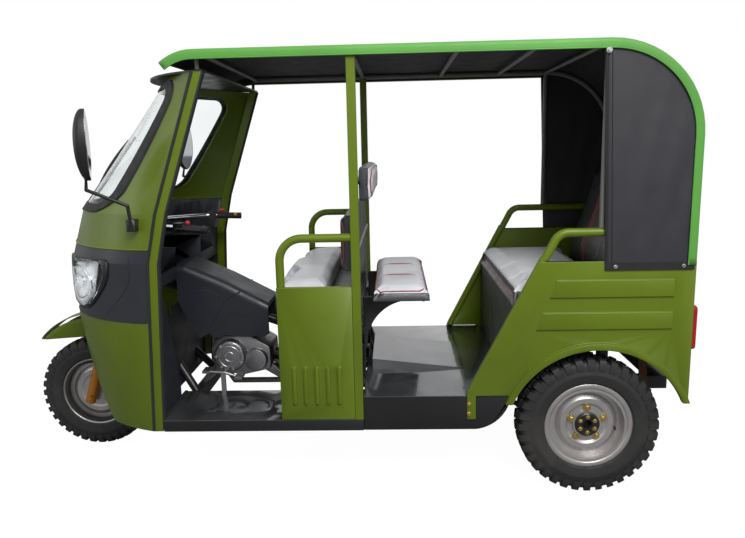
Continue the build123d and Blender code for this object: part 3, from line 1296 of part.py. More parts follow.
# Handlebar pulled well back, with grips and controls
BAR_R = 11.0
BAR_UP = HIGH_YOKE_UP + YOKE_T + 91.0 + BAR_R + FIT_GAP
BAR_CENTRE = steer_point(BAR_UP, 4.0)
GRIP_R = 16.0
GRIP_L = 125.0
BAR_POINTS = (
    (0.0, 70.0, 0.0),
    (-50.0, 150.0, 46.0),
    (-230.0, 265.0, 48.0),
)
GRIP_DIR = Vector(-1.0, 0.28, -0.06).normalized()
with BuildPart() as handlebar:
    for side in (-1, 1):
        run = [(BAR_CENTRE.X, 0.0, BAR_CENTRE.Z)]
        for back, out, up in BAR_POINTS:
            run.append((BAR_CENTRE.X + back, side * out, BAR_CENTRE.Z + up))
        tip = Vector(*run[-1]) + Vector(GRIP_DIR.X, side * GRIP_DIR.Y, GRIP_DIR.Z) * (GRIP_L + 50.0)
        run.append(tuple(tip))
        tube_run(run, BAR_R)
finish_part(handlebar, "handlebar")
with BuildPart() as grips:
    for side in (-1, 1):
        root = BAR_CENTRE + Vector(BAR_POINTS[-1][0], side * BAR_POINTS[-1][1], BAR_POINTS[-1][2])
        toward = Vector(GRIP_DIR.X, side * GRIP_DIR.Y, GRIP_DIR.Z)
        with BuildSketch(Plane(origin=root + toward * 52.0, z_dir=toward)):
            Circle(GRIP_R)
            Circle(BAR_R + FIT_GAP, mode=Mode.SUBTRACT)
        extrude(amount=GRIP_L)
finish_part(grips, "grips")
with BuildPart() as controls:
    for side in (-1, 1):
        root = BAR_CENTRE + Vector(BAR_POINTS[-1][0], side * BAR_POINTS[-1][1], BAR_POINTS[-1][2])
        toward = Vector(GRIP_DIR.X, side * GRIP_DIR.Y, GRIP_DIR.Z)
        with BuildSketch(Plane(origin=root + toward * 14.0, z_dir=toward)):
            Rectangle(46.0, 46.0)
            Circle(BAR_R + FIT_GAP, mode=Mode.SUBTRACT)
        extrude(amount=36.0)
        lever = root + toward * 30.0 + Vector(0.0, side * 33.0, 0.0)
        tip = lever + toward * 118.0
        pivot = root + toward * 30.0 + Vector(0.0, side * 21.0, 0.0)
        tube_run((tuple(pivot), tuple(lever), tuple(tip)), 5.0)
finish_part(controls, "controls")

# Beak-shaped front mudguard carried by the lower yoke
GUARD_HALF = FORK_Y - SLIDER_R - CLEAR
GUARD_WALL = 4.0
with BuildPart() as front_guard:
    for inset, half, mode in (
        (0.0, GUARD_HALF, Mode.ADD),
        (GUARD_WALL, GUARD_HALF - GUARD_WALL, Mode.SUBTRACT),
    ):
        with BuildSketch(side_plane(0)):
            with BuildLine():
                ThreePointArc(
                    (FRONT_AXLE_X + 240.0 - 2 * inset, 556.0 - inset),
                    (FRONT_AXLE_X + 70.0, 657.0 - inset),
                    (FRONT_AXLE_X - 180.0 + inset, 628.0 - inset),
                )
                Polyline(
                    (FRONT_AXLE_X - 180.0 + inset, 628.0 - inset),
                    (FRONT_AXLE_X - 180.0 + inset, 570.0 - 30.0 * inset),
                    (FRONT_AXLE_X + 240.0 - 2 * inset, 544.0 - 30.0 * inset),
                    (FRONT_AXLE_X + 240.0 - 2 * inset, 556.0 - inset),
                )
            make_face()
        extrude(amount=half, both=True, mode=mode)
        if mode == Mode.ADD:
            round_edges = front_guard.edges().filter_by(lambda e: e.center().Z > 600.0 and e.length > 300.0)
            fillet(round_edges, 30.0)
    with BuildSketch(steer_plane(LOW_YOKE_UP - FIT_GAP, STEER_OFFSET - 4.0)):
        Rectangle(40.0, 60.0)
    extrude(amount=-46.0)
finish_part(front_guard, "front_guard")


def tyre_solid(x, y, z, radius, width, seat_half):
    """Tyre body of revolution with a rounded sidewall and a crowned tread."""
    shoulder = radius - 0.05 * radius
    tread = 0.40 * width
    with BuildSketch(wheel_plane(x, y, z)) as profile:
        with BuildLine():
            ThreePointArc((-tread, shoulder + 6.0), (0.0, radius), (tread, shoulder + 6.0))
            Line((tread, shoulder + 6.0), (tread + 6.0, shoulder))
            ThreePointArc(
                (tread + 6.0, shoulder),
                (width / 2, (shoulder + RIM_FLANGE_R) / 2 + 12.0),
                (seat_half + 4.0, RIM_FLANGE_R - 4.0),
            )
            Polyline(
                (seat_half + 4.0, RIM_FLANGE_R - 4.0),
                (seat_half - 6.0 - FIT_GAP, RIM_FLANGE_R - 6.0),
                (seat_half - 6.0 - FIT_GAP, RIM_SEAT_R + FIT_GAP),
                (-seat_half + 6.0 + FIT_GAP, RIM_SEAT_R + FIT_GAP),
                (-seat_half + 6.0 + FIT_GAP, RIM_FLANGE_R - 6.0),
                (-seat_half - 4.0, RIM_FLANGE_R - 4.0),
            )
            ThreePointArc(
                (-seat_half - 4.0, RIM_FLANGE_R - 4.0),
                (-width / 2, (shoulder + RIM_FLANGE_R) / 2 + 12.0),
                (-tread - 6.0, shoulder),
            )
            Line((-tread - 6.0, shoulder), (-tread, shoulder + 6.0))
        make_face()
    revolve(profile.sketch, axis=Axis((x, y, z), (0, 1, 0)))


def rim_solid(x, y, z, seat_half, dish, hub_r, bore_r, hub_in, hub_out):
    """Pressed steel rim with drop barrel, dished disc and hub; dish is towards +Y when positive."""
    edge = RIM_FLANGE_R - 8.0
    wall = 5.0
    with BuildSketch(wheel_plane(x, y, z)) as profile:
        with BuildLine():
            Polyline(
                (-seat_half, edge),
                (-seat_half + 5.0, edge),
                (-seat_half + 5.0, RIM_SEAT_R),
                (seat_half - 5.0, RIM_SEAT_R),
                (seat_half - 5.0, edge),
                (seat_half, edge),
                (seat_half, RIM_SEAT_R - wall),
                (-seat_half, RIM_SEAT_R - wall),
                close=True,
            )
        make_face()
        with BuildLine():
            Polyline(
                (dish * 0.2, RIM_SEAT_R - wall + 1.0),
                (dish * 0.2 + 6.0, RIM_SEAT_R - wall + 1.0),
                (dish * 0.2 + 6.0, 0.842 * RIM_SEAT_R),
                (dish + 6.0, 0.711 * RIM_SEAT_R),
                (dish + 6.0, 0.579 * RIM_SEAT_R),
                (dish * 0.7 + 6.0, 0.513 * RIM_SEAT_R),
                (dish * 0.7 + 6.0, hub_r - 2.0),
                (dish * 0.7, hub_r - 2.0),
                (dish * 0.7, 0.487 * RIM_SEAT_R),
                (dish, 0.559 * RIM_SEAT_R),
                (dish, 0.691 * RIM_SEAT_R),
                (dish * 0.2, 0.822 * RIM_SEAT_R),
                close=True,
            )
        make_face()
        with Locations(((hub_in + hub_out) / 2, (hub_r + bore_r) / 2)):
            Rectangle(hub_out - hub_in, hub_r - bore_r)
    revolve(profile.sketch, axis=Axis((x, y, z), (0, 1, 0)))


# Front wheel
with BuildPart() as front_tyre:
    tyre_solid(FRONT_AXLE_X, 0.0, FRONT_AXLE_Z, FRONT_TYRE_R, FRONT_TYRE_W, 40.0)
finish_part(front_tyre, "front_tyre")
FRONT_HUB_HALF = FORK_Y - SLIDER_R - CLEAR
with BuildPart() as front_rim:
    rim_solid(
        FRONT_AXLE_X,
        0.0,
        FRONT_AXLE_Z,
        40.0,
        14.0,
        0.342 * RIM_SEAT_R,
        AXLE_PIN_R + RUN_GAP,
        -FRONT_HUB_HALF,
        FRONT_HUB_HALF,
    )
finish_part(front_rim, "front_rim")

# Rear wheels
REAR_SEAT_HALF = 48.0
DRUM_R = 104.0
for side, name in ((1, "left"), (-1, "right")):
    with BuildPart() as rear_tyre:
        tyre_solid(REAR_AXLE_X, side * REAR_WHEEL_Y, REAR_AXLE_Z, REAR_TYRE_R, REAR_TYRE_W, REAR_SEAT_HALF)
    finish_part(rear_tyre, f"rear_tyre_{name}")
    with BuildPart() as rear_rim:
        hub = sorted((side * -86.0, side * 30.0))
        rim_solid(
            REAR_AXLE_X,
            side * REAR_WHEEL_Y,
            REAR_AXLE_Z,
            REAR_SEAT_HALF,
            side * 20.0,
            0.375 * RIM_SEAT_R,
            STUB_R + RUN_GAP,
            hub[0],
            hub[1],
        )
    finish_part(rear_rim, f"rear_rim_{name}")
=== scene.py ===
import math

import bmesh
import bpy
from bpy.props import FloatProperty, FloatVectorProperty, IntProperty, PointerProperty
from mathutils import Matrix, Vector
from mathutils.bvhtree import BVHTree


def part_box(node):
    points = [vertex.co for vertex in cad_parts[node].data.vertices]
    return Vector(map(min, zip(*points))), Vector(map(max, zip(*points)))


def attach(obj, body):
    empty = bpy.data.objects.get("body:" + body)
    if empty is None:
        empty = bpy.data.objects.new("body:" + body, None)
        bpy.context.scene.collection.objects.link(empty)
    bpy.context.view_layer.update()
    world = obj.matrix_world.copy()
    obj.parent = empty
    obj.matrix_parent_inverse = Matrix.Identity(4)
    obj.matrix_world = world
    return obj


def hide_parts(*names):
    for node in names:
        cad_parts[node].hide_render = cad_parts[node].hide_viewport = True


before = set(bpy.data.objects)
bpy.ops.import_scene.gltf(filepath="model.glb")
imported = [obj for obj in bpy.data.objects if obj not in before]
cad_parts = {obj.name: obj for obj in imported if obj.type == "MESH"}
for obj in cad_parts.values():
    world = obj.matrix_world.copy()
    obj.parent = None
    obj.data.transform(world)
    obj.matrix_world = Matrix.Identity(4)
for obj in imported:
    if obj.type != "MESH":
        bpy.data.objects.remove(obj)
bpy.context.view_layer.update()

bl_info = {
    "name": "Auto rickshaw finishes",
    "version": (1, 0, 0),
    "blender": (4, 5, 0),
    "location": "3D View > Sidebar > Rickshaw",
    "description": "Dresses the packed three-wheeler with finishes, soft goods, tread, trim and a studio",
    "category": "Object",
}

SIDES = (1, -1)
SIDE_NAMES = ((1, "left"), (-1, "right"))

# Stations of the body, in metres, as the solids have them
FRONT_AXLE = sum(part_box("front_tyre"), Vector()) / 2
REAR_AXLE = {
    side: sum(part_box("rear_tyre_left" if side > 0 else "rear_tyre_right"), Vector()) / 2
    for side in SIDES
}
BACK_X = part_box("canopy")[0].x
ROOF_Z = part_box("canopy")[1].z
ROOF_FRONT_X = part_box("canopy")[1].x
CANOPY_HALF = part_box("canopy")[1].y
CANOPY_FOOT_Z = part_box("canopy")[0].z
CANOPY_BEND = 0.360
CANOPY_NOSE = 0.130
CANOPY_DROP = 0.046
BAND_FOOT = 0.746
BAND_TOP = 1.046


# Settings


def colour_setting(label, what, tone):
    return FloatVectorProperty(name=label, description=what, subtype="COLOR", size=3, default=tone)


def length_setting(label, what, length, least, most):
    return FloatProperty(name=label, description=what, default=length, min=least, max=most, unit="LENGTH")


def angle_setting(label, what, degrees):
    return FloatProperty(name=label, description=what, subtype="ANGLE", default=math.radians(degrees))


def power_setting(label, what, watts):
    return FloatProperty(name=label, description=what, default=watts, min=0.0, max=2000.0, unit="POWER")


class RickshawColours(bpy.types.PropertyGroup):
    """Colours of the finishes."""

    body_green: colour_setting("Body green", "Paint of the panels", (0.122, 0.180, 0.004))
    roof_green: colour_setting("Roof green", "Coated cloth of the roof", (0.105, 0.370, 0.052))
    curtain: colour_setting("Curtain", "Coated cloth of the side curtains", (0.030, 0.030, 0.036))
    plastic: colour_setting("Plastic", "Moulded nose band and fascia", (0.022, 0.025, 0.033))
    plate: colour_setting("Floor plate", "Gloss black floor plates", (0.200, 0.206, 0.220))
    seat_top: colour_setting("Seat top", "Light vinyl of the seats", (0.80, 0.81, 0.85))
    seat_side: colour_setting("Seat side", "Dark vinyl of the seats", (0.045, 0.048, 0.056))
    piping: colour_setting("Piping", "Red piping of the seats", (0.34, 0.055, 0.065))
    fork_gold: colour_setting("Fork", "Gold lacquer of the fork", (0.62, 0.24, 0.03))
    rim_silver: colour_setting("Rim", "Silver lacquer of the rims", (0.52, 0.50, 0.49))


class RickshawSizes(bpy.types.PropertyGroup):
    """Sizes of what is added to the solids."""

    lugs: IntProperty(name="Lugs", description="Shoulder lugs round a tyre", default=36, min=12, max=80)
    lug_depth: length_setting("Lug depth", "Depth of the tread", 0.013, 0.002, 0.02)
    voxel: length_setting("Voxel", "Grain of the padded seats", 0.010, 0.004, 0.02)
    swell: length_setting("Swell", "Most that a seat skin moves", 0.024, 0.0, 0.03)
    piping: length_setting("Piping", "Radius of the seat piping", 0.0032, 0.001, 0.01)
    crown: length_setting("Crown", "Rise of the roof cloth in the middle", 0.010, 0.0, 0.03)
    sag: length_setting("Sag", "Hang of the roof cloth between bows", 0.006, 0.0, 0.02)
    hem: length_setting("Hem", "Depth of the roof edging", 0.037, 0.01, 0.08)


class RickshawStudio(bpy.types.PropertyGroup):
    """Camera and light."""

    camera_place: FloatVectorProperty(
        name="Camera",
        description="Place of the camera",
        subtype="TRANSLATION",
        size=3,
        default=(-0.280, 3.1505, 1.4354),
    )
    yaw: angle_setting("Yaw", "Camera turned from square on", 2.0465)
    pitch: angle_setting("Pitch", "Camera tilted down", 10.4392)
    roll: angle_setting("Roll", "Camera rolled", -1.2773)
    lens: FloatProperty(
        name="Lens", description="Focal length in millimetres", default=32.47, min=10.0, max=200.0
    )
    sky: FloatProperty(name="Sky", description="Strength of the even light", default=0.42, min=0.0, max=2.0)
    key: power_setting("Key", "Power of the large soft lamp", 230.0)
    fill: power_setting("Fill", "Power of the front lamp", 16.0)


def colours():
    return bpy.context.scene.rickshaw_colours


def sizes():
    return bpy.context.scene.rickshaw_sizes


def studio():
    return bpy.context.scene.rickshaw_studio


# Finishes


class Finish:
    """One procedural material on a Principled shader, patterned on Object coordinates."""

    def __init__(self, name, **constants):
        self.material = bpy.data.materials.new(name)
        self.material.use_nodes = True
        self.tree = self.material.node_tree
        self.shader = self.tree.nodes["Principled BSDF"]
        self.place = self.tree.nodes.new("ShaderNodeTexCoord").outputs["Object"]
        self.normal = None
        for socket, value in constants.items():
            self.shader.inputs[socket.replace("_", " ")].default_value = value

    def link(self, a, b):
        self.tree.links.new(a, b)

    def spread(self, stretch, turn=(0, 0, 0)):
        mapping = self.tree.nodes.new("ShaderNodeMapping")
        mapping.inputs["Scale"].default_value = stretch
        mapping.inputs["Rotation"].default_value = turn
        self.link(self.place, mapping.inputs["Vector"])
        return mapping.outputs["Vector"]

    def noise(self, scale, detail=3.0, stretch=(1, 1, 1)):
        node = self.tree.nodes.new("ShaderNodeTexNoise")
        node.inputs["Scale"].default_value = scale
        node.inputs["Detail"].default_value = detail
        self.link(self.spread(stretch), node.inputs["Vector"])
        return node.outputs["Fac"]

    def wave(self, pitch, direction, distortion=0.0):
        node = self.tree.nodes.new("ShaderNodeTexWave")
        node.bands_direction = direction
        node.inputs["Scale"].default_value = 0.314159 / pitch
        node.inputs["Distortion"].default_value = distortion
        self.link(self.place, node.inputs["Vector"])
        return node.outputs["Fac"]

    def cells(self, scale, feature="F1"):
        node = self.tree.nodes.new("ShaderNodeTexVoronoi")
        node.feature = feature
        node.inputs["Scale"].default_value = scale
        self.link(self.place, node.inputs["Vector"])
        return node.outputs["Distance"]

    def height(self):
        split = self.tree.nodes.new("ShaderNodeSeparateXYZ")
        self.link(self.place, split.inputs["Vector"])
        return split.outputs["Z"]

    def math(self, operation, a, b):
        node = self.tree.nodes.new("ShaderNodeMath")
        node.operation = operation
        for socket, value in zip(node.inputs, (a, b)):
            if isinstance(value, (int, float)):
                socket.default_value = value
            else:
                self.link(value, socket)
        return node.outputs["Value"]

    def fit(self, value, low, high, to_low, to_high):
        node = self.tree.nodes.new("ShaderNodeMapRange")
        for socket, number in zip(("From Min", "From Max", "To Min", "To Max"), (low, high, to_low, to_high)):
            node.inputs[socket].default_value = number
        self.link(value, node.inputs["Value"])
        return node.outputs["Result"]

    def colour(self, factor, *stops):
        ramp = self.tree.nodes.new("ShaderNodeValToRGB")
        while len(ramp.color_ramp.elements) < len(stops):
            ramp.color_ramp.elements.new(0.5)
        for element, (position, tone) in zip(ramp.color_ramp.elements, stops):
            element.position = position
            element.color = (*tone, 1.0)
        self.link(factor, ramp.inputs["Fac"])
        self.link(ramp.outputs["Color"], self.shader.inputs["Base Color"])
        return self

    def rough(self, factor, low, high):
        self.link(self.fit(factor, 0.3, 0.7, low, high), self.shader.inputs["Roughness"])
        return self

    def bump(self, height, distance, strength=1.0):
        node = self.tree.nodes.new("ShaderNodeBump")
        node.inputs["Distance"].default_value = distance
        node.inputs["Strength"].default_value = strength
        self.link(height, node.inputs["Height"])
        if self.normal is not None:
            self.link(self.normal, node.inputs["Normal"])
        self.normal = node.outputs["Normal"]
        self.link(self.normal, self.shader.inputs["Normal"])
        return self


def finish_of(key):
    """A finish made earlier."""
    return bpy.data.materials[f"finish_{key}"]


def shade(tone, factor):
    """A tone made lighter or darker."""
    return tuple(min(1.0, channel * factor) for channel in tone)


def paint_finish(name, tone, coat=0.22, metallic=0.0, rough=(0.36, 0.50)):
    """Sprayed panel paint: slight blotchy cloud, painted light by height (lighter higher up, painted shade
    low down), orange peel.
    """
    finish = Finish(name, Metallic=metallic, Coat_Weight=coat, Coat_Roughness=0.18, Specular_IOR_Level=0.35)
    cloud = finish.fit(finish.noise(3.2, 5.0), 0.25, 0.75, 0.0, 0.45)
    # Painted light and shade: the tone grows lighter with height and darker low down.
    painted_light_by_height = finish.fit(finish.height(), 0.25, 1.10, 0.0, 0.50)
    mottle_and_painted_light = finish.math("ADD", cloud, painted_light_by_height)
    finish.colour(mottle_and_painted_light, (0.10, shade(tone, 0.74)), (0.50, tone), (0.90, shade(tone, 1.16)))
    finish.rough(finish.noise(9.0, 4.0), *rough)
    finish.bump(finish.noise(420.0, 2.0), 0.0004, 0.20)
    return finish.material


def split_finish(name, low_tone, high_tone, level):
    """Panel in one tone below a level and another above it: two-tone paint on the scuttle, painted shade
    below the band on the nose.
    """
    finish = Finish(name, Coat_Weight=0.25, Coat_Roughness=0.22)
    step = finish.fit(finish.height(), level - 0.0006, level + 0.0006, 0.0, 1.0)
    finish.colour(step, (0.0, low_tone), (1.0, high_tone))
    finish.rough(finish.noise(9.0, 4.0), 0.36, 0.48)
    finish.bump(finish.noise(420.0, 2.0), 0.0004, 0.20)
    return finish.material


def plate_finish(name, tone):
    """Gloss enamel on floor plate, scuffed dull in patches."""
    finish = Finish(name, Metallic=0.80, Coat_Weight=1.0, Coat_Roughness=0.05)
    finish.colour(finish.noise(5.0, 5.0), (0.30, shade(tone, 0.7)), (0.60, tone), (0.90, shade(tone, 1.6)))
    finish.rough(finish.noise(11.0, 5.0), 0.08, 0.26)
    finish.bump(finish.cells(52.0, "SMOOTH_F1"), 0.0016, 0.12)
    finish.bump(finish.noise(9.0, 3.0), 0.004, 0.10)
    return finish.material


def cloth_finish(name, tone, pitch, sheen=0.25, rough=(0.42, 0.60)):
    """Coated cloth with a woven grain and soft creases."""
    finish = Finish(name, Sheen_Weight=sheen, Sheen_Roughness=0.4)
    finish.colour(finish.noise(2.4, 6.0), (0.28, shade(tone, 0.84)), (0.52, tone), (0.80, shade(tone, 1.14)))
    finish.rough(finish.noise(14.0, 4.0), *rough)
    weave = finish.math("MULTIPLY", finish.wave(pitch, "X"), finish.wave(pitch, "Z"))
    finish.bump(finish.math("ADD", weave, finish.wave(pitch, "Y")), 0.0006, 0.35)
    finish.bump(finish.noise(5.5, 2.0), 0.010, 0.22)
    return finish.material


def vinyl_finish(name, tone):
    """Seat vinyl with a leather grain and a worn gloss."""
    finish = Finish(name, Coat_Weight=0.30, Coat_Roughness=0.25)
    finish.colour(finish.noise(5.0, 5.0), (0.30, shade(tone, 0.82)), (0.55, tone), (0.85, shade(tone, 1.10)))
    finish.rough(finish.noise(16.0, 4.0), 0.28, 0.48)
    finish.bump(finish.cells(420.0), 0.0012, 0.35)
    finish.bump(finish.noise(26.0, 3.0, (1, 0.5, 1)), 0.006, 0.20)
    return finish.material


def plastic_finish(name, tone, rough=(0.34, 0.50), grain=700.0):
    """Moulded plastic with a fine spark grain."""
    finish = Finish(name)
    finish.colour(finish.noise(4.0, 5.0), (0.30, shade(tone, 0.86)), (0.60, tone), (0.90, shade(tone, 1.20)))
    finish.rough(finish.noise(12.0, 4.0), *rough)
    finish.bump(finish.noise(grain, 2.0), 0.0005, 0.25)
    return finish.material


def metal_finish(name, tone, rough, grain=60.0, cast=0.0, metallic=1.0):
    """Bare or lacquered metal, polished to cast."""
    finish = Finish(name, Metallic=metallic)
    finish.colour(finish.noise(7.0, 5.0), (0.28, shade(tone, 0.80)), (0.55, tone), (0.85, shade(tone, 1.12)))
    finish.rough(finish.noise(grain, 4.0), *rough)
    finish.bump(finish.noise(380.0, 3.0), 0.0012 if cast else 0.0003, cast or 0.10)
    return finish.material


def rubber_finish(name, tone, dust):
    """Rubber greyed by road dust."""
    finish = Finish(name)
    finish.colour(finish.noise(6.0, 6.0), (0.30, tone), (0.55, shade(tone, 1.25)), (0.85, dust))
    finish.rough(finish.noise(30.0, 4.0), 0.55, 0.78)
    finish.bump(finish.noise(240.0, 3.0), 0.0010, 0.30)
    return finish.material


def clear_finish(name, tone, rough=0.02, ior=1.45):
    """Clear glass or lens with a faint film of dust."""
    finish = Finish(name, IOR=ior, Transmission_Weight=1.0)
    finish.colour(finish.noise(5.0, 4.0), (0.30, shade(tone, 0.94)), (0.70, tone))
    finish.rough(finish.noise(8.0, 4.0), rough, rough + 0.04)
    return finish.material


def make_finishes():
    """All finishes by name."""
    tone = colours()
    return {
        "paint": paint_finish("body_paint", tone.body_green),
        "frame_black": paint_finish("frame_black", (0.014, 0.014, 0.015), 0.3),
        "floor_black": plate_finish("floor_black", tone.plate),
        "sill_black": paint_finish("sill_black", (0.016, 0.016, 0.018), 0.2),
        "scuttle_split": split_finish("scuttle_split", tone.plastic, tone.body_green, BAND_TOP),
        # Below the dark band the nose takes body green darkened to 0.9: painted shade under the band.
        "nose_split": split_finish("nose_split", shade(tone.body_green, 0.9), tone.plastic, BAND_FOOT),
        "grey_rail": paint_finish("grey_rail", (0.16, 0.16, 0.15), 0.2),
        "roof_cloth": cloth_finish("roof_cloth", tone.roof_green, 0.003),
        "lining": cloth_finish("roof_lining", (0.020, 0.019, 0.020), 0.004, 0.1, (0.6, 0.8)),
        "curtain_cloth": cloth_finish("curtain_cloth", tone.curtain, 0.003, 0.15, (0.38, 0.52)),
        "hem_cloth": cloth_finish("hem_cloth", (0.012, 0.012, 0.013), 0.003, 0.1, (0.45, 0.6)),
        "vinyl_light": vinyl_finish("vinyl_light", tone.seat_top),
        "vinyl_dark": vinyl_finish("vinyl_dark", tone.seat_side),
        "piping_red": vinyl_finish("piping_red", tone.piping),
        "plastic": plastic_finish("moulded_plastic", tone.plastic),
        "plastic_black": plastic_finish("black_plastic", (0.012, 0.012, 0.013)),
        "amber": plastic_finish("amber_lens", (0.75, 0.20, 0.02), (0.15, 0.25)),
        "red_switch": plastic_finish("red_switch", (0.60, 0.03, 0.02), (0.25, 0.35)),
        "red_lens": plastic_finish("red_lens", (0.42, 0.012, 0.010), (0.10, 0.20)),
        "rubber": rubber_finish("trim_rubber", (0.014, 0.014, 0.016), (0.032, 0.032, 0.034)),
        "tyre": rubber_finish("tyre_rubber", (0.018, 0.018, 0.018), (0.055, 0.050, 0.045)),
        "rim": metal_finish("rim_lacquer", tone.rim_silver, (0.28, 0.42), 20.0, metallic=0.75),
        "gold": metal_finish("fork_lacquer", tone.fork_gold, (0.22, 0.34), 20.0, metallic=0.55),
        "alloy": metal_finish("cast_alloy", (0.34, 0.34, 0.35), (0.32, 0.50), 40.0, 0.35),
        "reflector": metal_finish("reflector", (0.82, 0.83, 0.85), (0.06, 0.16), 10.0, 0.6),
        "chrome": metal_finish("chrome", (0.78, 0.78, 0.79), (0.05, 0.14), 12.0),
        "mirror": metal_finish("mirror_glass", (0.82, 0.84, 0.86), (0.01, 0.03), 4.0),
        "rust": metal_finish("rust", (0.17, 0.065, 0.022), (0.55, 0.75), 40.0, 0.4, metallic=0.2),
        "zinc_gold": metal_finish("zinc_gold", (0.62, 0.46, 0.18), (0.25, 0.40), 90.0),
        "zinc": metal_finish("zinc", (0.62, 0.62, 0.63), (0.25, 0.40), 90.0),
        "exhaust": metal_finish("exhaust_steel", (0.26, 0.23, 0.21), (0.35, 0.60), 25.0, 0.2),
        "glass": clear_finish("screen_glass", (0.93, 0.96, 0.96), ior=1.12),
        "lens": clear_finish("lamp_lens", (0.95, 0.97, 0.98), ior=1.30),
    }


NODE_FINISH = {
    "paint": (
        "cowl_lower", "door_posts", "b_posts", "seat_panels", "front_rails",
        "rear_sides", "rear_rails", "rear_wall", "front_guard",
    ),
    "sill_black": ("chassis",),
    "frame_black": (
        "seat_box", "back_frame", "jump_brackets", "bench_box", "wiper",
        "rear_axle", "springs", "hangers", "drive_shaft", "yokes",
    ),
    "floor_black": ("front_floor", "deck", "deck_ramp"),
    "grey_rail": ("roof_frame",),
    "roof_cloth": ("canopy",),
    "curtain_cloth": ("curtains",),
    "vinyl_light": ("driver_seat", "jump_seat", "jump_back", "rear_bench"),
    "vinyl_dark": ("driver_backrest", "rear_backrest"),
    "scuttle_split": ("cowl_upper",),
    "nose_split": ("cowl_middle",),
    "plastic": ("fascia", "leg_panels", "fairing"),
    "plastic_black": ("visor", "mirrors", "controls"),
    "red_lens": ("tail_lamps",),
    "rubber": ("screen_seal", "grips"),
    "tyre": ("front_tyre", "rear_tyre_left", "rear_tyre_right"),
    "rim": ("front_rim", "rear_rim_left", "rear_rim_right"),
    "gold": ("fork",),
    "alloy": ("engine", "pedals"),
    "chrome": ("handlebar", "lamp_buckets"),
    "mirror": ("mirror_glass",),
    "exhaust": ("exhaust",),
    "glass": ("screen",),
    "lens": ("headlamps",),
}


# Mesh tools


def add_piece(name, mesh, finish, body, smooth=True):
    """A finished piece at the origin, riding on a body."""
    piece = bpy.data.objects.new(name, mesh)
    bpy.context.scene.collection.objects.link(piece)
    if finish is not None:
        mesh.materials.clear()
        mesh.materials.append(finish_of(finish))
    if smooth:
        mesh.shade_smooth()
    elif smooth is not None:
        mesh.shade_flat()
    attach(piece, body)
    return piece


def mesh_from(verts, faces, name="shape"):
    """Mesh with doubles merged and normals outward."""
    mesh = bpy.data.meshes.new(name)
    mesh.from_pydata([tuple(v) for v in verts], [], faces)
    form = bmesh.new()
    form.from_mesh(mesh)
    bmesh.ops.remove_doubles(form, verts=form.verts, dist=1e-5)
    bmesh.ops.recalc_face_normals(form, faces=form.faces)
    form.to_mesh(mesh)
    form.free()
    mesh.update()
    return mesh


def lathe(profile, centre, segments):
    """Closed (across, radius) outline turned about an axle along Y."""
    verts, faces = [], []
    count = len(profile)
    for step in range(segments):
        angle = 2 * math.pi * step / segments
        for across, radius in profile:
            verts.append(centre + Vector((radius * math.sin(angle), across, radius * math.cos(angle))))
    for step in range(segments):
        ahead = (step + 1) % segments
        for i in range(count):
            j = (i + 1) % count
            faces.append((step * count + i, step * count + j, ahead * count + j, ahead * count + i))
    return mesh_from(verts, faces)


def tube(name, points, radius, sides=10, closed=False, straight=False):
    """Plain mesh of a round strand along the points."""
    curve = bpy.data.curves.new(name, "CURVE")
    curve.dimensions = "3D"
    curve.bevel_depth = radius
    curve.bevel_resolution = max(1, sides // 4 - 1)
    curve.use_fill_caps = True
    spline = curve.splines.new("POLY" if straight else "NURBS")
    spline.points.add(len(points) - 1)
    for point, place in zip(spline.points, points):
        point.co = (*place, 1.0)
    spline.use_cyclic_u = closed
    if not straight:
        spline.order_u = 3
        spline.use_endpoint_u = not closed
        spline.resolution_u = 6
    holder = bpy.data.objects.new(name, curve)
    mesh = bpy.data.meshes.new_from_object(holder)
    bpy.data.objects.remove(holder)
    bpy.data.curves.remove(curve)
    return mesh


def join(meshes):
    """One mesh of several."""
    form = bmesh.new()
    for mesh in meshes:
        form.from_mesh(mesh)
    joined = bpy.data.meshes.new("joined")
    form.to_mesh(joined)
    form.free()
    return joined


def node_copy(node):
    """Merged copy of a CAD node's mesh."""
    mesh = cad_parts[node].data.copy()
    form = bmesh.new()
    form.from_mesh(mesh)
    bmesh.ops.remove_doubles(form, verts=form.verts, dist=1e-5)
    form.to_mesh(mesh)
    form.free()
    return mesh


def block(first, second):
    """Closed block between two outlines of as many points."""
    count = len(first)
    faces = [tuple(range(count)), tuple(range(count, 2 * count))]
    for i in range(count):
        j = (i + 1) % count
        faces.append((i, j, count + j, count + i))
    return mesh_from([*first, *second], faces)


def plate(outline, y, thick):
    """Flat plate along the vehicle: (x, z) outline from y inward by its thickness."""
    return block([(x, y, z) for x, z in outline], [(x, y - thick, z) for x, z in outline])


def ring(centre, radius, count, start=0.0, turn=1):
    """Points evenly round an axle along Y, the first at the start angle from the top."""
    angles = [start + turn * 2 * math.pi * i / count for i in range(count)]
    return [centre + Vector((radius * math.sin(a), 0, radius * math.cos(a))) for a in angles]


# Geometry nodes


def new_tree(name, inputs):
    """Empty geometry tree with a geometry input, named inputs and an output."""
    tree = bpy.data.node_groups.new(name, "GeometryNodeTree")
    tree.interface.new_socket("Geometry", in_out="INPUT", socket_type="NodeSocketGeometry")
    for label, kind in inputs:
        tree.interface.new_socket(label, in_out="INPUT", socket_type=kind)
    tree.interface.new_socket("Geometry", in_out="OUTPUT", socket_type="NodeSocketGeometry")
    return tree, tree.nodes.new("NodeGroupInput"), tree.nodes.new("NodeGroupOutput")


def end_tree(tree, instances, given, out):
    """Realize the instances, set the material and end the tree."""
    real = tree.nodes.new("GeometryNodeRealizeInstances")
    finish = tree.nodes.new("GeometryNodeSetMaterial")
    tree.links.new(instances, real.inputs["Geometry"])
    tree.links.new(real.outputs["Geometry"], finish.inputs["Geometry"])
    tree.links.new(given.outputs["Finish"], finish.inputs["Material"])
    tree.links.new(finish.outputs["Geometry"], out.inputs["Geometry"])


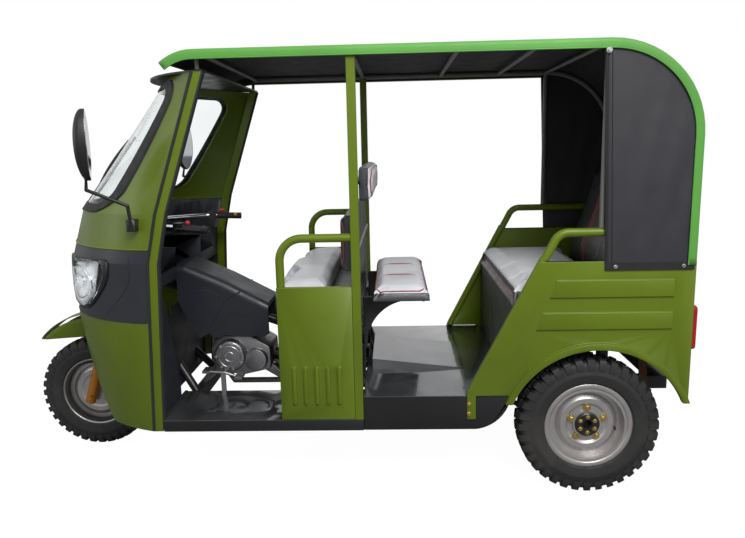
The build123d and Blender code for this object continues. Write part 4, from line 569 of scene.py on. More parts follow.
def ring_tree():
    """Repeats a shape round an axle along Y."""
    tree, given, out = new_tree(
        "repeat_round_axle",
        (
            ("Count", "NodeSocketInt"),
            ("Offset", "NodeSocketFloat"),
            ("Axle", "NodeSocketVector"),
            ("Finish", "NodeSocketMaterial"),
        ),
    )
    line = tree.nodes.new("GeometryNodeMeshLine")
    line.inputs["Offset"].default_value = (0, 0, 0)
    index = tree.nodes.new("GeometryNodeInputIndex")
    turns = tree.nodes.new("ShaderNodeMath")
    turns.operation = "ADD"
    part = tree.nodes.new("ShaderNodeMath")
    part.operation = "DIVIDE"
    angle = tree.nodes.new("ShaderNodeMath")
    angle.operation = "MULTIPLY"
    angle.inputs[1].default_value = 2 * math.pi
    turn = tree.nodes.new("ShaderNodeCombineXYZ")
    place = tree.nodes.new("GeometryNodeInstanceOnPoints")
    move = tree.nodes.new("GeometryNodeTransform")
    link = tree.links.new
    link(given.outputs["Count"], line.inputs["Count"])
    link(index.outputs["Index"], turns.inputs[0])
    link(given.outputs["Offset"], turns.inputs[1])
    link(turns.outputs["Value"], part.inputs[0])
    link(given.outputs["Count"], part.inputs[1])
    link(part.outputs["Value"], angle.inputs[0])
    link(angle.outputs["Value"], turn.inputs["Y"])
    link(line.outputs["Mesh"], place.inputs["Points"])
    link(given.outputs["Geometry"], place.inputs["Instance"])
    link(turn.outputs["Vector"], place.inputs["Rotation"])
    link(place.outputs["Instances"], move.inputs["Geometry"])
    link(given.outputs["Axle"], move.inputs["Translation"])
    end_tree(tree, move.outputs["Geometry"], given, out)
    return tree


def head_tree():
    """Puts a six-sided bolt head with a washer on each point, standing along its facing."""
    tree, given, out = new_tree(
        "bolt_heads",
        (("Size", "NodeSocketFloat"), ("Sides", "NodeSocketInt"), ("Finish", "NodeSocketMaterial")),
    )
    link = tree.links.new
    head = tree.nodes.new("GeometryNodeMeshCone")
    washer = tree.nodes.new("GeometryNodeMeshCylinder")
    washer.inputs["Vertices"].default_value = 16
    both = tree.nodes.new("GeometryNodeJoinGeometry")
    place = tree.nodes.new("GeometryNodeInstanceOnPoints")
    facing = tree.nodes.new("GeometryNodeInputNamedAttribute")
    facing.data_type = "FLOAT_VECTOR"
    facing.inputs["Name"].default_value = "facing"
    align = tree.nodes.new("FunctionNodeAlignRotationToVector")
    align.axis = "Z"
    link(given.outputs["Sides"], head.inputs["Vertices"])
    for node, socket, factor in (
        (head, "Radius Top", 0.82),
        (head, "Radius Bottom", 1.0),
        (head, "Depth", 1.1),
        (washer, "Radius", 1.45),
        (washer, "Depth", 0.36),
    ):
        scale = tree.nodes.new("ShaderNodeMath")
        scale.operation = "MULTIPLY"
        scale.inputs[1].default_value = factor
        link(given.outputs["Size"], scale.inputs[0])
        link(scale.outputs["Value"], node.inputs[socket])
    link(head.outputs["Mesh"], both.inputs["Geometry"])
    link(washer.outputs["Mesh"], both.inputs["Geometry"])
    link(facing.outputs["Attribute"], align.inputs["Vector"])
    link(given.outputs["Geometry"], place.inputs["Points"])
    link(both.outputs["Geometry"], place.inputs["Instance"])
    link(align.outputs["Rotation"], place.inputs["Rotation"])
    end_tree(tree, place.outputs["Instances"], given, out)
    return tree


def grow(mesh, tree, **values):
    """The plain mesh that a tree makes of a mesh."""
    holder = bpy.data.objects.new("grown", mesh)
    bpy.context.scene.collection.objects.link(holder)
    modifier = holder.modifiers.new("tree", "NODES")
    modifier.node_group = tree
    for item in tree.interface.items_tree:
        if item.in_out == "INPUT" and item.name in values:
            modifier[item.identifier] = values[item.name]
    evaluated = holder.evaluated_get(bpy.context.evaluated_depsgraph_get())
    made = bpy.data.meshes.new_from_object(evaluated)
    bpy.data.objects.remove(holder)
    if not made.polygons:
        raise RuntimeError(f"{tree.name} made nothing")
    return made


def facing_points(places):
    """Points with a facing each."""
    mesh = bpy.data.meshes.new("places")
    mesh.from_pydata([tuple(place) for place, _ in places], [], [])
    facing = mesh.attributes.new("facing", "FLOAT_VECTOR", "POINT")
    for item, (_, toward) in zip(facing.data, places):
        item.vector = tuple(toward)
    return mesh


def add_heads(name, places, size, finish, body, sides=6):
    """Bolt heads at (place, facing) pairs, as one piece."""
    tree = bpy.data.node_groups.get("bolt_heads") or head_tree()
    mesh = grow(facing_points(places), tree, Size=size, Sides=sides, Finish=finish_of(finish))
    return add_piece(name, mesh, None, body, smooth=False)


# Operators


class RICKSHAW_OT_finishes(bpy.types.Operator):
    """Give every solid its finish"""

    bl_idname = "rickshaw.finishes"
    bl_label = "Finishes"

    def execute(self, context):
        made = make_finishes()
        for finish, nodes in NODE_FINISH.items():
            for node in nodes:
                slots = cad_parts[node].material_slots
                for slot in slots:
                    slot.material = made[finish]
        for key, material in made.items():
            material.name = f"finish_{key}"
        missing = set(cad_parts) - {node for nodes in NODE_FINISH.values() for node in nodes}
        if missing:
            raise RuntimeError(f"no finish for {sorted(missing)}")
        return {"FINISHED"}


WHEELS = (
    # piece, solid, body, axle
    ("tyre_front", "front_tyre", "front_wheel", FRONT_AXLE),
    ("tyre_rear_left", "rear_tyre_left", "rear_wheel_left", REAR_AXLE[1]),
    ("tyre_rear_right", "rear_tyre_right", "rear_wheel_right", REAR_AXLE[-1]),
)
RIM_SHARE = 0.625
SEAT_HALF = {"front_rim": 0.040, "rear_rim_left": 0.048, "rear_rim_right": 0.048}


class RICKSHAW_OT_tyres(bpy.types.Operator):
    """Carcass with shoulder lugs and a zigzag of centre blocks for each wheel"""

    bl_idname = "rickshaw.tyres"
    bl_label = "Tyres"

    def carcass(self, radius, half, depth):
        low = RIM_SHARE * radius
        side = (
            (half * 0.70, low - 0.022),
            (half * 0.74, low - 0.003),
            (half * 0.80, low + 0.004),
            (half * 0.84, low + 0.007),
            (half * 0.87, low + 0.006),
            (half * 0.93, low + 0.022),
            (half * 0.985, low + 0.040),
            (half * 0.985, low + 0.043),
            (half * 0.965, low + 0.046),
            (half * 0.945, radius - 0.036),
            (half * 0.875, radius - 0.022),
            (half * 0.78, radius - depth - 0.003),
            (half * 0.40, radius - depth),
        )
        return [*side, *[(-across, r) for across, r in reversed(side)]]

    def lug(self, radius, half, depth, width, side):
        outline = (
            (half * 0.30, radius - depth - 0.002),
            (half * 0.32, radius - 0.0005),
            (half * 0.62, radius - 0.0010),
            (half * 0.84, radius - 0.0050),
            (half * 0.95, radius - 0.0160),
            (half * 1.000, radius - 0.0360),
            (half * 0.996, radius - 0.0470),
            (half * 0.93, radius - 0.0440),
            (half * 0.70, radius - depth - 0.006),
        )
        ends = []
        for edge in (-0.5, 0.5):
            end = []
            for across, r in outline:
                flare = 0.75 + 0.25 * across / half
                skew = 0.010 * (1 - across / half)
                end.append((edge * width * flare + skew, side * across, r))
            ends.append(end)
        return block(*ends)

    def centre(self, radius, half, depth, width):
        outline = ((-0.22, -depth - 0.002), (-0.19, -0.0004), (0.19, -0.0004), (0.22, -depth - 0.002))
        ends = []
        for edge, lean in ((-0.5, -0.012), (0.5, 0.012)):
            end = []
            for across, drop in outline:
                end.append((edge * width + 1.5 * lean * across, across * half + lean * 0.5, radius + drop))
            ends.append(end)
        return block(*ends)

    def lips(self, name, rim, body, axle, outer):
        """Rolled edges of the rim that the tyre beads sit in."""
        low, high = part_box(rim)
        flange = (high.z - low.z) / 2
        made = []
        for side in SIDES:
            edge = SEAT_HALF[rim]
            outline = (
                (edge - 0.006, flange - 0.006),
                (edge + 0.001, flange - 0.007),
                (edge + 0.003, flange - 0.002),
                (edge + 0.0045, outer - 0.005),
                (edge + 0.0025, outer),
                (edge - 0.003, outer),
                (edge - 0.005, outer - 0.006),
            )
            made.append(lathe([(side * across, r) for across, r in outline], axle, 72))
        add_piece(name.replace("tyre", "rim_lips"), join(made), "rim", body)

    def execute(self, context):
        tree = ring_tree()
        rubber = finish_of("tyre")
        for name, node, body, axle in WHEELS:
            low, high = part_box(node)
            radius = (high.z - low.z) / 2
            half = (high.y - low.y) / 2
            depth = sizes().lug_depth
            count = sizes().lugs
            pitch = 2 * math.pi * radius / count
            shapes = [lathe(self.carcass(radius, half, depth), axle, 96)]
            for shape, offset in (
                (self.lug(radius, half, depth, pitch * 0.56, 1), 0.0),
                (self.lug(radius, half, depth, pitch * 0.56, -1), 0.5),
                (self.centre(radius, half, depth, pitch * 0.66), 0.25),
            ):
                shapes.append(grow(shape, tree, Count=count, Offset=offset, Axle=tuple(axle), Finish=rubber))
            piece = add_piece(name, join(shapes), "tyre", body)
            piece.data.set_sharp_from_angle(angle=math.radians(40))
            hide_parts(node)
            self.lips(name, node.replace("tyre", "rim"), body, axle, RIM_SHARE * radius)
        return {"FINISHED"}


NUT_RING = 0.0675
CAP_BOLT_RING = 0.0335
DISC_OUT = 0.020
HUB_CAP = (
    # outward from the disc, radius
    (0.0, 0.016), (0.014, 0.016), (0.020, 0.020), (0.022, 0.044),
    (0.018, 0.050), (-0.010, 0.0535), (-0.010, 0.016),
)
VALVE = ((-0.118, 0.012, -0.020), (-0.115, 0.030, -0.020), (-0.110, 0.044, -0.019))


class RICKSHAW_OT_wheel_fittings(bpy.types.Operator):
    """Wheel nuts, hub caps with their bolts, and tyre valves"""

    bl_idname = "rickshaw.wheel_fittings"
    bl_label = "Wheel fittings"

    def execute(self, context):
        for side, word in SIDE_NAMES:
            body = f"rear_wheel_{word}"
            axle = REAR_AXLE[side]
            outward = Vector((0, side, 0))
            disc = axle + outward * DISC_OUT
            nuts = [(place, outward) for place in ring(disc + outward * 0.004, NUT_RING, 5)]
            add_heads(f"wheel_nuts_{word}", nuts, 0.0105, "zinc_gold", body)
            cap = lathe([(side * across, r) for across, r in HUB_CAP], disc - outward * 0.002, 40)
            hub = add_piece(f"hub_cap_{word}", cap, "frame_black", body)
            hub.data.set_sharp_from_angle(angle=math.radians(35))
            bolts = [(place, outward) for place in ring(disc + outward * 0.0195, CAP_BOLT_RING, 6)]
            add_heads(f"hub_bolts_{word}", bolts, 0.0062, "zinc_gold", body)
            stem = [axle + Vector((x, side * y, z)) for x, y, z in VALVE]
            add_piece(f"valve_{word}", tube("valve", stem, 0.0045), "rubber", body)
        return {"FINISHED"}


SEATS = (
    # piece, solid, slot, axis of the sat-on face (0 x, 2 z) and its sign, sewn channels, fill
    ("cushion_driver", "driver_seat", "vinyl_grey", 2, 1, (-0.20, 0.20), 0.70),
    ("cushion_driver_back", "driver_backrest", "vinyl_dark", 0, 1, (-0.12, 0.12), 0.75),
    ("cushion_jump", "jump_seat", "vinyl_grey", 2, 1, (-0.14, 0.14), 0.70),
    ("cushion_jump_back", "jump_back", "vinyl_grey", 0, -1, (), 0.75),
    ("cushion_bench", "rear_bench", "vinyl_grey", 2, 1, (-0.26, 0.0, 0.26), 0.70),
    ("cushion_bench_back", "rear_backrest", "vinyl_dark", 0, 1, (-0.26, 0.0, 0.26), 0.75),
)


LIGHT_DEPTH = {"driver_seat": 0.070, "jump_seat": 0.022, "jump_back": 0.020, "rear_bench": 0.030}
STRIPE = (0.206, 0.266)
PIPING_CORNER = 0.035
PIPING_STEP = 0.03
CHANNEL_DEPTH = 0.010
CHANNEL_WIDTH = 0.011
CHANNEL_REACH = 0.06


class RICKSHAW_OT_seats(bpy.types.Operator):
    """Padded seats, swollen by cloth simulation, with sewn channels and red piping"""

    bl_idname = "rickshaw.seats"
    bl_label = "Seats"

    def swell(self, name, node, axis, sign):
        """Skin of one cushion, pinned on the face that rests on its board."""
        piece = bpy.data.objects.new(name, node_copy(node))
        context = bpy.context
        context.scene.collection.objects.link(piece)
        mesh = piece.data
        low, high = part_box(node)
        middle = (low + high) / 2
        inset = 0.010
        for vertex in mesh.vertices:
            for k in range(3):
                half = (high[k] - low[k]) / 2
                vertex.co[k] = middle[k] + (vertex.co[k] - middle[k]) * (half - inset) / half
        rest = middle[axis] - sign * ((high[axis] - low[axis]) / 2 - inset)
        board = low[axis] if sign > 0 else high[axis]
        for vertex in mesh.vertices:
            if abs(vertex.co[axis] - rest) < 0.004:
                vertex.co[axis] = board + sign * 0.001
        remesh = piece.modifiers.new("skin", "REMESH")
        remesh.mode = "VOXEL"
        remesh.voxel_size = sizes().voxel
        self.apply(piece)
        mesh = piece.data
        start = [vertex.co.copy() for vertex in mesh.vertices]
        pinned = piece.vertex_groups.new(name="board")
        pinned.add([v.index for v in mesh.vertices if abs(v.co[axis] - board) < 0.016], 1.0, "REPLACE")
        cloth = piece.modifiers.new("cloth", "CLOTH")
        cloth.settings.use_pressure = True
        cloth.settings.uniform_pressure_force = 4.0
        cloth.settings.vertex_group_mass = "board"
        cloth.settings.effector_weights.gravity = 0.0
        cloth.settings.quality = 4
        cloth.point_cache.frame_start, cloth.point_cache.frame_end = 1, 20
        for step in range(1, 21):
            context.scene.frame_set(step)
        self.apply(piece)
        context.scene.frame_set(1)
        mesh = piece.data
        cap = sizes().swell * (0.35 if axis == 0 else 1.0)
        for vertex, was in zip(mesh.vertices, start):
            move = vertex.co - was
            if move.length > cap:
                vertex.co = was + move * (cap / move.length)
        return piece

    def apply(self, piece):
        evaluated = piece.evaluated_get(bpy.context.evaluated_depsgraph_get())
        made = bpy.data.meshes.new_from_object(evaluated)
        piece.modifiers.clear()
        piece.vertex_groups.clear()
        piece.data = made

    def limit(self, piece, node, grow_by=0.008):
        """Keeps the skin in the room of its solid."""
        low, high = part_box(node)
        for vertex in piece.data.vertices:
            for k in range(3):
                vertex.co[k] = max(low[k] - grow_by, min(high[k] + grow_by, vertex.co[k]))

    def channels(self, piece, node, axis, sign, lines):
        """Sewn channels pressed into the upper face."""
        low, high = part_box(node)
        face = high[axis] if sign > 0 else low[axis]
        for vertex in piece.data.vertices:
            near = max(0.0, 1.0 - abs(vertex.co[axis] - face) / CHANNEL_REACH)
            for line in lines:
                pressed = math.exp(-(((vertex.co.y - line) / CHANNEL_WIDTH) ** 2))
                vertex.co[axis] -= sign * CHANNEL_DEPTH * near * pressed

    def piping(self, name, piece, node, axis, sign, lines, inset, slot):
        """Red piping along the upper edge and the channels, laid on the skin."""
        tree = BVHTree.FromPolygons(
            [v.co for v in piece.data.vertices], [tuple(p.vertices) for p in piece.data.polygons]
        )
        low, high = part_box(node)
        other = 0 if axis == 2 else 2
        far = Vector((0, 0, 0))
        far[axis] = sign * 0.3
        runs = []
        a0, a1 = low[other] + inset, high[other] - inset
        y0, y1 = low.y + inset, high.y - inset
        corner = PIPING_CORNER
        corners = (
            (a1 - corner, y1 - corner),
            (a0 + corner, y1 - corner),
            (a0 + corner, y0 + corner),
            (a1 - corner, y0 + corner),
        )
        loop = []
        for quarter, (ca, cy) in enumerate(corners):
            for step in range(5):
                angle = math.radians(90 * quarter + 22.5 * step)
                loop.append((ca + corner * math.cos(angle), cy + corner * math.sin(angle)))
        dense = []
        for (a, y), (b, z) in zip(loop, loop[1:] + loop[:1]):
            steps = max(1, int(math.hypot(b - a, z - y) / PIPING_STEP))
            dense += [(a + (b - a) * i / steps, y + (z - y) * i / steps) for i in range(steps)]
        runs.append((dense, True))
        for line in lines:
            steps = max(2, int((a1 - a0) / PIPING_STEP))
            runs.append(([(a0 + (a1 - a0) * i / steps, line) for i in range(steps + 1)], False))
        made = []
        for run, closed in runs:
            laid = []
            for a, y in run:
                start = Vector((0, y, 0))
                start[other] = a
                start[axis] = (high[axis] if sign > 0 else low[axis]) + sign * 0.2
                hit, normal, _, _ = tree.ray_cast(start, -far)
                if hit is not None:
                    laid.append(hit + normal * sizes().piping * 0.3)
            if len(laid) > 3:
                made.append(tube(name, laid, sizes().piping, 8, closed and len(laid) == len(run)))
        return add_piece(name, join(made), "piping_red", "body")

    def execute(self, context):
        for name, node, slot, axis, sign, lines, fill in SEATS:
            piece = self.swell(name, node, axis, sign)
            self.channels(piece, node, axis, sign, lines)
            self.limit(piece, node)
            subdivide = piece.modifiers.new("smooth", "SUBSURF")
            subdivide.levels = subdivide.render_levels = 1
            self.apply(piece)
            piece.data.shade_smooth()
            low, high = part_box(node)
            piece.data.materials.clear()
            piece.data.materials.append(finish_of("vinyl_light" if slot == "vinyl_grey" else "vinyl_dark"))
            piece.data.materials.append(finish_of("vinyl_dark"))
            piece.data.materials.append(finish_of("piping_red"))
            face = high[axis] if sign > 0 else low[axis]
            for polygon in piece.data.polygons:
                away = abs(polygon.center[axis] - face)
                if slot == "vinyl_grey" and away > LIGHT_DEPTH[node]:
                    polygon.material_index = 1
                if node == "rear_backrest" and STRIPE[0] < abs(polygon.center.y) < STRIPE[1]:
                    polygon.material_index = 2
            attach(piece, "body")
            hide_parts(node)
            if name != "cushion_bench_back" and name != "cushion_driver":
                drawn = lines if node == "jump_seat" else ()
                self.piping(f"piping_{node}", piece, node, axis, sign, drawn, 0.026, "vinyl_grey")
        return {"FINISHED"}


def canopy_path(steps_bend=14, steps_nose=6):
    """(x, z, normal x, normal z) down the roof's side view, front edge first."""
    points = []
    nose_r = (CANOPY_NOSE**2 + CANOPY_DROP**2) / (2 * CANOPY_DROP)
    start_x = ROOF_FRONT_X - CANOPY_NOSE
    reach = math.asin(CANOPY_NOSE / nose_r)
    for i in range(steps_nose + 1):
        angle = reach * (1 - i / steps_nose)
        nx, nz = math.sin(angle), math.cos(angle)
        points.append((start_x + nose_r * nx, ROOF_Z - nose_r * (1 - nz), nx, nz))
    bend_x = BACK_X + CANOPY_BEND
    run = start_x - bend_x
    count = int(run / 0.030)
    for i in range(1, count + 1):
        points.append((start_x - run * i / count, ROOF_Z, 0.0, 1.0))
    for i in range(1, steps_bend + 1):
        angle = math.pi / 2 * i / steps_bend
        nx, nz = -math.sin(angle), math.cos(angle)
        points.append((bend_x + CANOPY_BEND * nx, ROOF_Z - CANOPY_BEND * (1 - nz), nx, nz))
    drop = ROOF_Z - CANOPY_BEND - CANOPY_FOOT_Z
    count = int(drop / 0.030)
    for i in range(1, count + 1):
        points.append((BACK_X, ROOF_Z - CANOPY_BEND - drop * i / count, -1.0, 0.0))
    return points


BOW_STATIONS = (0.450, -0.120, -0.530, -0.830, -1.080)


class RICKSHAW_OT_canopy(bpy.types.Operator):
    """Roof cloth in one sheet over the roof and down the back, rolled over the side rails"""

    bl_idname = "rickshaw.canopy"
    bl_label = "Canopy"

    def execute(self, context):
        path = canopy_path()
        roll = 0.017
        hem = sizes().hem
        half = []
        for i in range(15):
            half.append((i / 14 * (CANOPY_HALF - roll), 0.0))
        for i in range(1, 6):
            angle = math.pi / 2 * i / 5
            half.append((CANOPY_HALF - roll + roll * math.sin(angle), roll * (1 - math.cos(angle))))
        half += [(CANOPY_HALF + 0.0005, roll + (hem - roll) * t) for t in (0.35, 0.7, 1.0)]
        section = [(-y, d) for y, d in reversed(half[1:])] + half
        verts, faces = [], []
        flat_half = CANOPY_HALF - roll
        for x, z, nx, nz in path:
            sag = 0.0
            if nz > 0.99:
                for ahead, behind in zip(BOW_STATIONS, BOW_STATIONS[1:]):
                    if behind <= x <= ahead:
                        t = (x - behind) / (ahead - behind)
                        sag = sizes().sag * math.sin(math.pi * t) ** 2
            for y, depth in section:
                share = max(0.0, 1.0 - (abs(y) / flat_half) ** 2)
                drop = depth + (sag - sizes().crown) * share if depth < 1e-6 else depth
                if nz > 0.99:
                    drop += 0.0008 * math.sin(41.0 * x + 13.0 * y) * share
                verts.append((x - nx * drop, y, z - nz * drop))
        across = len(section)
        for i in range(len(path) - 1):
            for j in range(across - 1):
                a = i * across + j
                faces.append((a, a + 1, a + across + 1, a + across))
        mesh = mesh_from(verts, faces, "canopy_sheet")
        upward = sum(p.normal.z * p.area for p in mesh.polygons)
        if upward < 0:
            mesh.flip_normals()
        piece = add_piece("canopy_sheet", mesh, "roof_cloth", "body")
        mesh.materials.append(finish_of("lining"))
        shell = piece.modifiers.new("cloth", "SOLIDIFY")
        shell.thickness = 0.0022
        shell.offset = -1.0
        shell.material_offset = 1
        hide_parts("canopy")
        self.edging(path, hem)
        return {"FINISHED"}

    def edging(self, path, hem):
        """Welted lower edge of the roof cloth on both sides."""
        made = []
        for side in SIDES:
            points = [(x - nx * hem, side * (CANOPY_HALF + 0.0005), z - nz * hem) for x, z, nx, nz in path]
            made.append(tube("welt", points, 0.0030, 8))
        add_piece("canopy_welt", join(made), "roof_cloth", "body")


class RICKSHAW_OT_curtains(bpy.types.Operator):
    """Side curtains with hems, seams and snap rivets"""

    bl_idname = "rickshaw.curtains"
    bl_label = "Curtains"

    edge = 0.008

    def top(self, x):
        bend_x = BACK_X + CANOPY_BEND
        radius = CANOPY_BEND - self.edge
        if x >= bend_x:
            return ROOF_Z - self.edge
        return ROOF_Z - CANOPY_BEND + math.sqrt(max(0.0, radius**2 - (bend_x - x) ** 2))

    def execute(self, context):
        low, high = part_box("curtains")
        front_low, front_high = high.x - 0.030, high.x
        for side, word in SIDE_NAMES:
            across, up = 26, 40
            verts, faces = [], []
            outer = high.y - 0.0012
            for i in range(across + 1):
                t = i / across
                s = 1 - (1 - t) ** 1.6
                for j in range(up + 1):
                    v = j / up
                    foot = front_low + (low.x + 0.002 - front_low) * s
                    head_x = front_high + (low.x + 0.002 - front_high) * s
                    top_z = self.top(foot + (head_x - foot) * 0.9)
                    z = low.z + (top_z - low.z) * v
                    x = foot + (head_x - foot) * (z - low.z) / (high.z - low.z)
                    slack = math.sin(math.pi * min(1.0, v * 1.08)) * math.sin(math.pi * t)
                    billow = 0.0040 * (0.6 + 0.4 * math.sin(9.0 * x + 5.0 * z))
                    crease = 0.0012 * math.sin(60 * x + 14 * z)
                    verts.append((x, side * (outer + slack * (billow + crease) - 0.0006), z))
            for i in range(across):
                for j in range(up):
                    a = i * (up + 1) + j
                    faces.append((a, a + 1, a + up + 2, a + up + 1))
            mesh = mesh_from(verts, faces, f"curtain_{word}")
            if sum(p.normal.y * p.area for p in mesh.polygons) * side < 0:
                mesh.flip_normals()
            piece = add_piece(f"curtain_{word}", mesh, "curtain_cloth", "body")
            shell = piece.modifiers.new("cloth", "SOLIDIFY")
            shell.thickness = 0.0018
            shell.offset = -1.0
            hem = self.hems(side, word, low, high, front_low, front_high, outer)
        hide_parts("curtains")
        return {"FINISHED"}

    def hems(self, side, word, low, high, front_low, front_high, outer):
        """Dark bottom band, doubled front edge, seam beside it, two snaps and a stud."""
        y = side * (outer + 0.0016)
        band = (
            (front_low - 0.001, low.z - 0.002),
            (low.x + 0.003, low.z - 0.002),
            (low.x + 0.003, low.z + 0.026),
            (front_low - 0.001, low.z + 0.030),
        )
        shape = plate(band, y, side * 0.0075)
        hem = add_piece(f"curtain_hem_{word}", shape, "hem_cloth", "body", smooth=False)
        for name, behind, out, short, radius, sides in (
            ("fold", 0.004, 0.0, 0.05, 0.0052, 8),
            ("seam", 0.026, 0.0008, 0.06, 0.0016, 6),
        ):
            points = []
            for step in range(25):
                t = step / 24
                x = front_low + (front_high - front_low) * t - behind
                points.append((x, side * (outer + out), low.z + 0.03 + (high.z - low.z - short) * t))
            strand = tube(name, points, radius, sides)
            add_piece(f"curtain_{name}_{word}", strand, "hem_cloth", "body")
        outward = Vector((0, side, 0))
        snaps = [
            (Vector((front_low - 0.040, y, low.z + 0.013)), outward),
            (Vector((low.x + 0.045, y, low.z + 0.013)), outward),
        ]
        add_heads(f"curtain_snaps_{word}", snaps, 0.0055, "zinc", "body", 12)
        add_heads(
            f"curtain_stud_{word}",
            [(Vector((front_high - 0.012, side * (CANOPY_HALF + 0.0015), ROOF_Z - 0.046)), outward)],
            0.0075, "zinc", "body", 12,
        )
        return hem


COWL_EDGE = (
    # height, rear edge, half width and nose of the cowl
    (0.280, FRONT_AXLE.x - 0.465, 0.545, FRONT_AXLE.x - 0.060),
    (0.720, FRONT_AXLE.x - 0.485, 0.550, FRONT_AXLE.x + 0.002),
    (0.988, FRONT_AXLE.x - 0.497, 0.550, FRONT_AXLE.x + 0.002),
    (1.185, FRONT_AXLE.x - 0.540, 0.546, FRONT_AXLE.x - 0.060),
    (1.725, FRONT_AXLE.x - 0.720, 0.532, FRONT_AXLE.x - 0.485),
)


def on_cowl(y, z, out=0.0):
    """Point on the rounded nose at a height and half breadth, moved outward."""
    for low, high in zip(COWL_EDGE, COWL_EDGE[1:]):
        if low[0] <= z <= high[0]:
            t = (z - low[0]) / (high[0] - low[0])
            rear, half, nose = (a + (b - a) * t for a, b in zip(low[1:], high[1:]))
            depth = nose - rear
            radius = (half**2 + depth**2) / (2 * depth)
            along = math.sqrt(radius**2 - y**2)
            return Vector((nose - radius + along * (radius + out) / radius, y * (radius + out) / radius, z))
    raise ValueError(f"no cowl at {z}")


LAMP_OUTLINE = (
    # half breadth and height round the left headlamp, from the inner foot
    (0.165, 0.800), (0.160, 0.900), (0.175, 0.965), (0.205, 0.986), (0.330, 0.994),
    (0.450, 1.000), (0.488, 0.999), (0.497, 0.985), (0.494, 0.930), (0.484, 0.890),
    (0.465, 0.850), (0.440, 0.812), (0.410, 0.787), (0.360, 0.777), (0.250, 0.784),
)
# Rings of each lamp shell: share of the outline, distance out from the nose
LENS_RINGS = (
    (0.05, 0.0080), (0.5, 0.0080), (0.93, 0.0080), (0.97, 0.0100),
    (0.93, 0.0110), (0.5, 0.0150), (0.05, 0.0160),
)
REFLECTOR_RINGS = (
    (0.05, 0.0012), (0.5, 0.0012), (0.96, 0.0012), (0.96, 0.0045), (0.5, 0.0045), (0.05, 0.0045),
)
BEZEL_RINGS = ((0.955, 0.0010), (1.03, 0.0010), (1.03, 0.0060), (0.985, 0.0105), (0.955, 0.0080))
BOWL_MIDDLE = (0.368, 0.893)


class RICKSHAW_OT_lamps(bpy.types.Operator):
    """Headlamps: clear lens over a facetted reflector with a round bowl, in a dark bezel"""

    bl_idname = "rickshaw.lamps"
    bl_label = "Lamps"

    def shell(self, side, rings):
        """Closed shell of rings between the lamp's middle and its outline, laid on the nose."""
        count = len(LAMP_OUTLINE)
        middle = sum((Vector(corner) for corner in LAMP_OUTLINE), Vector((0, 0))) / count
        verts, faces = [], []
        for share, out in rings:
            for corner in LAMP_OUTLINE:
                y, z = middle + (Vector(corner) - middle) * share
                verts.append(on_cowl(side * y, z, out))
        for start in range(0, len(verts) - count, count):
            for i in range(count):
                j = (i + 1) % count
                faces.append((start + i, start + j, start + count + j, start + count + i))
        faces.append(tuple(range(count)))
        faces.append(tuple(range(len(verts) - count, len(verts))))
        return mesh_from(verts, faces)

    def bowl(self, side):
        """Two raised rings round the bulb."""
        rings = []
        for radius, thick in ((0.072, 0.0040), (0.030, 0.0030)):
            loop = []
            for step in range(32):
                angle = 2 * math.pi * step / 32
                y = BOWL_MIDDLE[0] + radius * math.cos(angle)
                loop.append(on_cowl(side * y, BOWL_MIDDLE[1] + radius * math.sin(angle), 0.0050))
            rings.append(tube("bowl", loop, thick, 8, closed=True))
        return rings

    def execute(self, context):
        lens, mirror_coat, bezel = [], [], []
        for side in SIDES:
            lens.append(self.shell(side, LENS_RINGS))
            mirror_coat.append(self.shell(side, REFLECTOR_RINGS))
            mirror_coat += self.bowl(side)
            bezel.append(self.shell(side, BEZEL_RINGS))
        piece = add_piece("headlamp_lenses", join(lens), "lens", "body")
        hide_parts("headlamps")
        add_piece("headlamp_reflectors", join(mirror_coat), "reflector", "body", smooth=False)
        add_piece("headlamp_bezels", join(bezel), "plastic_black", "body")
        return {"FINISHED"}


SOFT_EDGES = (
    # solid, edge radius, finish, slot, body
    ("rear_sides", 0.0026, "paint", "paint", "body"),
    ("seat_panels", 0.0026, "paint", "paint", "body"),
    ("front_guard", 0.0040, "paint", "paint", "steering"),
    ("engine", 0.0035, "alloy", "engine_metal", "body"),
    ("fascia", 0.0050, "plastic", "dark_plastic", "body"),
    ("deck", 0.0030, "floor_black", "black_paint", "body"),
    ("front_floor", 0.0030, "floor_black", "black_paint", "body"),
    ("jump_brackets", 0.0030, "frame_black", "black_paint", "body"),
)


class RICKSHAW_OT_soft_edges(bpy.types.Operator):
    """Pressed and cast solids with their edges rounded over"""

    bl_idname = "rickshaw.soft_edges"
    bl_label = "Soft edges"

    def execute(self, context):
        for node, radius, finish, slot, body in SOFT_EDGES:
            mesh = node_copy(node)
            form = bmesh.new()
            form.from_mesh(mesh)
            bmesh.ops.dissolve_limit(form, angle_limit=math.radians(1.0), verts=form.verts, edges=form.edges)
            form.to_mesh(mesh)
            form.free()
            mesh.shade_smooth()
            holder = bpy.data.objects.new(node, mesh)
            context.scene.collection.objects.link(holder)
            bevel = holder.modifiers.new("edges", "BEVEL")
            bevel.width = radius
            bevel.segments = 2
            bevel.limit_method = "ANGLE"
            bevel.angle_limit = math.radians(40)
            bevel.use_clamp_overlap = False
            bevel.harden_normals = True
            made = bpy.data.meshes.new_from_object(holder.evaluated_get(context.evaluated_depsgraph_get()))
            bpy.data.objects.remove(holder)
            piece = add_piece(f"soft_{node}", made, finish, body, smooth=None)
            if finish == "floor_black":
                piece.data.materials.append(finish_of("sill_black"))
                for polygon in piece.data.polygons:
                    polygon.material_index = int(abs(polygon.normal.z) < 0.5)
            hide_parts(node)
        return {"FINISHED"}


